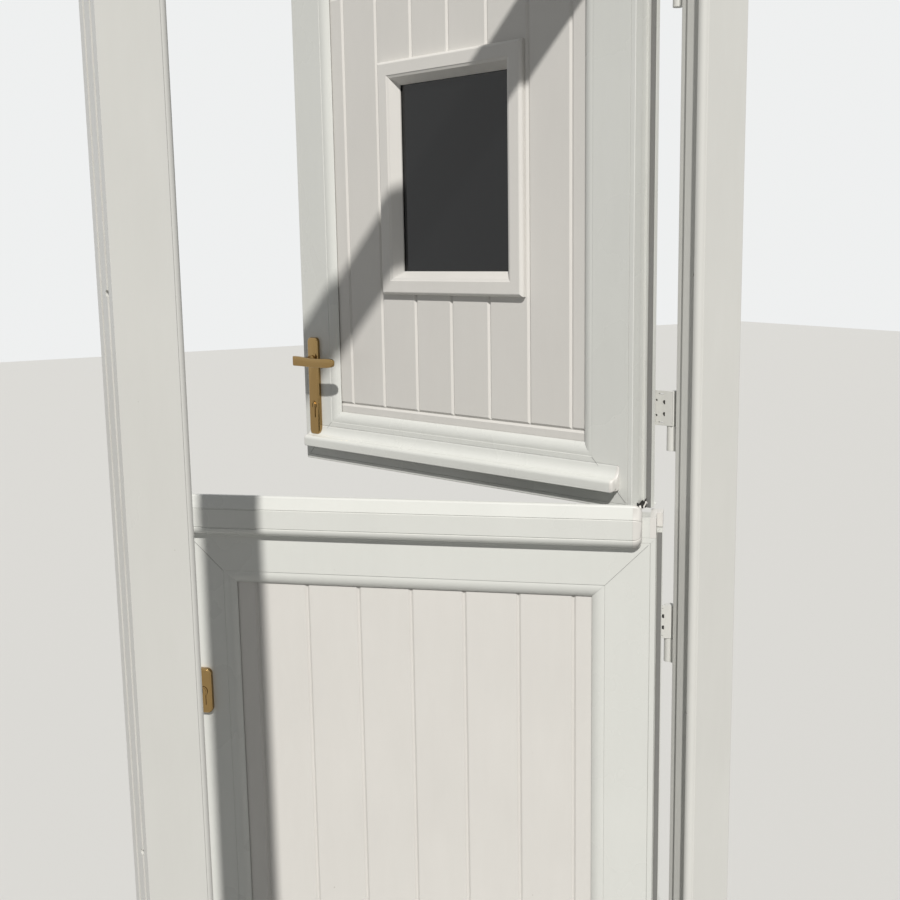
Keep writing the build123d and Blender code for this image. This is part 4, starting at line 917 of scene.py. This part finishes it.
GOLD, STEEL = ("polished gold", "brass"), ("zinc plated steel", "steel")
INWARD, LOCKWARD, HINGEWARD = (0, 1, 0), (-1, 0, 0), (1, 0, 0)
EDGE_FACE, EDGE_MIDDLE = -0.40105, 0.0045     # face of the faceplates and middle of the locks
KEEP_FACE = -0.4066
CASE_PLACE, CASE_HALF, CASE_PROUD = -0.25, 0.0115, 0.003     # the joining bolt's case
BRACKET_PLACE = (0.4475, 0.0401)


class STABLEDOOR_OT_screws(bpy.types.Operator):
    """Model one cross-head screw and copy it to each fixing"""

    bl_idname = "stable_door.screws"
    bl_label = "Screws"

    def execute(self, context):
        lock, inside = sizes().lock_place, sizes().leaf_inside
        plate_face, case_face = inside + PLATE_PROUD, inside + CASE_PROUD
        foot, top = PLATE_ENDS
        fixings = {
            "top_inside": ("top", GOLD, INWARD, [
                *[(lock, plate_face, height, 0.0036) for height in (foot + 0.012, top - 0.012)],
                *[(CASE_PLACE + side * CASE_HALF, case_face, height, 0.0022)
                  for side in (-1, 1) for height in (1.064, 1.098)]]),
            "bottom_inside": ("bottom", GOLD, INWARD, [
                (lock, plate_face, 0.699 + rise, 0.0034) for rise in (0.029, -0.031)]),
            "top_faceplate": ("top", STEEL, LOCKWARD, [
                (EDGE_FACE, EDGE_MIDDLE, height, 0.0032) for height in (1.102, 1.33, 1.56, 1.853)]),
            "bottom_faceplate": ("bottom", STEEL, LOCKWARD, [
                (EDGE_FACE, EDGE_MIDDLE, height, 0.0032) for height in (0.588, 0.66, 0.822)]),
            "keep": (None, STEEL, HINGEWARD, [
                (KEEP_FACE, EDGE_MIDDLE, height + rise, 0.003)
                for height in (0.745, 1.186, 1.786) for rise in (-0.034, 0.034)]),
            "hinge_base": (None, STEEL, INWARD, [
                (*BRACKET_PLACE, height + rise, 0.0036)
                for heights in HINGE_HEIGHTS.values() for height in heights
                for rise in (-0.052, -0.016, 0.016)])}
        pattern = make_screw()
        for name, (leaf, (material, slot), toward, places) in fixings.items():
            screws = copy_screws(pattern, f"{name}_screws", places, toward)
            hang(screws, leaf, material, degrees=35)
        bpy.data.objects.remove(pattern)
        return {"FINISHED"}


# Holes of a hinge plate: distance from the hinge line, distance above or below, and radius
HINGE_HOLES = ((0.009, 0.0096, 0.00338), (0.024, 0.0123, 0.00188))


class STABLEDOOR_OT_hinge_holes(bpy.types.Operator):
    """Model dark discs that sit back in the hinge plates' holes, painted shade for the dark space
    seen through them
    """

    bl_idname = "stable_door.hinge_holes"
    bl_label = "Hinge holes"

    def execute(self, context):
        depth = sizes().leaf_inside + 0.0022
        for leaf, heights in HINGE_HEIGHTS.items():
            shade_discs = []
            for height, (inward, rise, radius), way in product(heights, HINGE_HOLES, (-1, 1)):
                # Each dark disc is painted shade standing in an empty hole
                plug = add_primitive(
                    bpy.ops.mesh.primitive_cylinder_add, "hinge_plug", vertices=24,
                    radius=radius, depth=0.0016, rotation=(math.radians(90), 0, 0),
                    location=(HINGE[0] - inward, depth, height + way * rise))
                bevel_edges(plug, 0.0003, 50)
                shade_discs.append(plug)
            hang(join_pieces(shade_discs, f"{leaf}_hinge_plugs"), leaf, "dark seal",
                 degrees=35)
        return {"FINISHED"}


TORN_FOOT = LEAF_ENDS["top"][0]

# Scraps of torn plastic: depth, height and length of each, and its lean in radians
SCRAPS = ((0.0125, 1.0345, 0.012, 0.5), (0.019, 1.0335, 0.01, -0.3),
          (0.0005, 1.0315, 0.008, 0.9))


def ragged_sheet(name, cuts, offset, place, spread, thickness, ragged, lean=0):
    """Thin sheet beside the leaf's edge, its points put where ragged(number, point) says.

    cuts is how finely it is divided, and place and spread its middle and its width and height
    as (depth, height).
    """
    piece = add_primitive(
        bpy.ops.mesh.primitive_grid_add, name, (spread[1], spread[0], 1), size=1,
        x_subdivisions=cuts[0], y_subdivisions=cuts[1],
        location=(LEAF_HALF + offset, *place), rotation=(lean, math.radians(90), 0))
    with editing():
        move_points(piece, ragged)
    apply_modifier(piece, "SOLIDIFY", thickness=thickness, offset=0.0)
    return piece


def ragged_notch_shade(number, point):
    """Point of the dark ragged patch, painted shade for the torn notch, which frays towards its
    top.
    """
    rise = (point.z - TORN_FOOT) / 0.016
    ragged = 0.5 + 0.5 * math.sin(number * 2.4) * math.cos(number * 1.3)
    return (point.x + 0.0007 * math.sin(number * 1.9) * rise,
            point.y + 0.0012 * math.sin(number * 3.1),
            TORN_FOOT - 0.0003 + rise * 0.016 * (0.45 + 0.55 * ragged))


def ragged_gap_shade(number, point):
    """Point of the dark sliver, painted shade in the gap, which rises towards the ragged patch."""
    rise = (point.z - TORN_FOOT) / 0.008
    ragged = (point.y + 0.01975) / 0.0145 * (0.75 + 0.25 * math.sin(number * 2.1))
    return point.x, point.y, TORN_FOOT - 0.0002 + rise * 0.0105 * (0.25 + 0.75 * ragged)


def make_scrap(number, depth, height, length, lean):
    """Curled scrap of torn plastic."""
    def curled(_, point):
        along = (point.z - height) / length
        return (point.x + 0.0011 * math.sin(along * 4.0 + number) + 0.0004,
                point.y + 0.0016 * math.sin(along * 5.0 + 2 * number), point.z)

    scrap = ragged_sheet(f"torn_scrap_{number}", (8, 3), 0.0016, (depth, height),
                         (0.0032, length), 0.0007, curled, lean)
    apply_modifier(scrap, "SUBSURF", levels=1)
    return scrap


class STABLEDOOR_OT_torn_corner(bpy.types.Operator):
    """Model the torn hinge end of the meeting joint: a dark ragged patch and a dark sliver, both
    painted shade, and curled scraps of torn plastic
    """

    bl_idname = "stable_door.torn_corner"
    bl_label = "Torn corner"

    def execute(self, context):
        # Both dark sheets are painted shade: the patch for the torn notch, the sliver for the gap
        # at the leaf's foot
        for sheet in (
                ragged_sheet("torn_seal", (9, 7), 0.0004, (0.006, 1.0375), (0.026, 0.016),
                             0.0006, ragged_notch_shade),
                ragged_sheet("torn_gap", (10, 4), 0.0003, (-0.0125, 1.0335), (0.0145, 0.008),
                             0.0005, ragged_gap_shade)):
            hang(sheet, "top", "dark seal")
        torn = join_pieces([make_scrap(number, *scrap) for number, scrap in enumerate(SCRAPS)],
                           "torn_plastic")
        hang(torn, "top", "moulded cap plastic", degrees=60)
        return {"FINISHED"}


# Stage

FLOOR_SIZE, FLOOR_MIDDLE = (30.0, 26.0, 1.0), (0, 3.0, -0.0005)
FLOOR_BOUNCE = (0.26, 0.26, 0.255)     # colour of the light that the floor throws back
FILL_COLOUR, BACKDROP_COLOUR = (0.96, 0.98, 1.0, 1.0), (0.86, 0.87, 0.87, 1.0)
KEY_COLOUR = (1.0, 0.975, 0.935)


def build_floor():
    """Large pale floor, which throws back less light than it shows."""
    floor = add_primitive(bpy.ops.mesh.primitive_plane_add, "floor", FLOOR_SIZE, size=1,
                          location=FLOOR_MIDDLE)
    material, tree, shader = new_material(
        "pale floor", {"Roughness": 0.9, "Specular IOR Level": 0.2})
    colour = stage().floor_colour
    noise = add_node(tree, "ShaderNodeTexNoise", {"Scale": 2.0, "Detail": 2.0}).outputs["Fac"]
    tone = mix_colours(tree, noise, tinted(colour, 0.98), colour)
    diffuse = add_node(tree, "ShaderNodeLightPath").outputs["Is Diffuse Ray"]
    tree.links.new(mix_colours(tree, diffuse, tone, FLOOR_BOUNCE), shader["Base Color"])
    floor.data.materials.append(material)


def build_world(scene):
    """Even fill light, behind which the camera, gloss and glass see a pale backdrop."""
    scene.world = bpy.data.worlds.new("studio")
    scene.world.use_nodes = True
    tree = scene.world.node_tree
    tree.nodes.clear()
    ray = add_node(tree, "ShaderNodeLightPath").outputs
    seen = maths(tree, "MAXIMUM", ray["Is Camera Ray"], ray["Is Glossy Ray"])
    seen = maths(tree, "MAXIMUM", seen, ray["Is Transmission Ray"])
    fill = add_node(tree, "ShaderNodeBackground", {
        "Color": FILL_COLOUR, "Strength": stage().fill_strength})
    backdrop = add_node(tree, "ShaderNodeBackground", {"Color": BACKDROP_COLOUR})
    choose = add_node(tree, "ShaderNodeMixShader", {
        "Fac": seen, 1: fill.outputs[0], 2: backdrop.outputs[0]})
    add_node(tree, "ShaderNodeOutputWorld", {"Surface": choose.outputs[0]})


def add_aimed(name, data, turn, tilt, roll=0.0, place=(0, 0, 0)):
    """Lamp or camera turned right of straight ahead, tilted down and rolled to the left."""
    item = bpy.data.objects.new(name, data)
    item.matrix_world = (
        Matrix.Translation(place) @ Matrix.Rotation(-turn, 4, "Z")
        @ Matrix.Rotation(math.pi / 2 - tilt, 4, "X") @ Matrix.Rotation(-roll, 4, "Z"))
    bpy.context.scene.collection.objects.link(item)
    return item


def build_key():
    setting = stage()
    key = bpy.data.lights.new("key", "SUN")
    key.energy = setting.key_strength
    key.angle = setting.key_size
    key.color = KEY_COLOUR
    add_aimed("key", key, setting.key_turn, setting.key_height)


def build_camera(scene):
    setting = stage()
    lens = bpy.data.cameras.new("camera")
    lens.sensor_width = 36.0
    lens.lens = setting.camera_lens
    scene.camera = add_aimed("camera", lens, setting.camera_turn, setting.camera_tilt,
                             setting.camera_roll, setting.camera_place)


class STABLEDOOR_OT_stage(bpy.types.Operator):
    """Build the floor, the lights, the world and the camera"""

    bl_idname = "stable_door.stage"
    bl_label = "Stage"

    def execute(self, context):
        build_floor()
        build_world(context.scene)
        build_key()
        build_camera(context.scene)
        context.scene.view_settings.view_transform = "Standard"
        return {"FINISHED"}


class STABLEDOOR_PT_panel(bpy.types.Panel):
    """Steps that dress the stable door"""

    bl_label = "Stable Door"
    bl_idname = "STABLEDOOR_PT_panel"
    bl_space_type = "VIEW_3D"
    bl_region_type = "UI"
    bl_category = "Stable Door"

    def draw(self, context):
        layout = self.layout
        for operator in OPERATORS:
            layout.operator(operator.bl_idname)
        for name in GROUPS:
            group = getattr(context.scene, f"stable_door_{name}")
            box = layout.box()
            box.label(text=name.title())
            for value in group.__annotations__:
                box.prop(group, value)


# Order in which the steps run; the finishes come first, because new pieces share them
OPERATORS = (
    STABLEDOOR_OT_shared_groups,
    STABLEDOOR_OT_frame_finish,
    STABLEDOOR_OT_leaf_finish,
    STABLEDOOR_OT_panel_finish,
    STABLEDOOR_OT_seal_finish,
    STABLEDOOR_OT_metal_finish,
    STABLEDOOR_OT_levers,
    STABLEDOOR_OT_backplate,
    STABLEDOOR_OT_drip,
    STABLEDOOR_OT_weather_bar,
    STABLEDOOR_OT_panels,
    STABLEDOOR_OT_mitre_lines,
    STABLEDOOR_OT_screws,
    STABLEDOOR_OT_hinge_holes,
    STABLEDOOR_OT_torn_corner,
    STABLEDOOR_OT_stage,
)
GROUPS = {"finishes": StableDoorFinishes, "sizes": StableDoorSizes, "stage": StableDoorStage}
CLASSES = (*GROUPS.values(), *OPERATORS, STABLEDOOR_PT_panel)


def register():
    for item in CLASSES:
        bpy.utils.register_class(item)
    for name, group in GROUPS.items():
        setattr(bpy.types.Scene, f"stable_door_{name}", bpy.props.PointerProperty(type=group))


def unregister():
    for name in GROUPS:
        delattr(bpy.types.Scene, f"stable_door_{name}")
    for item in reversed(CLASSES):
        bpy.utils.unregister_class(item)


def main():
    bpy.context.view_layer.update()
    register()
    for operator in OPERATORS:
        getattr(bpy.ops.stable_door, operator.bl_idname.partition(".")[2])()
    bpy.context.view_layer.update()


if __name__ == "__main__":
    main()
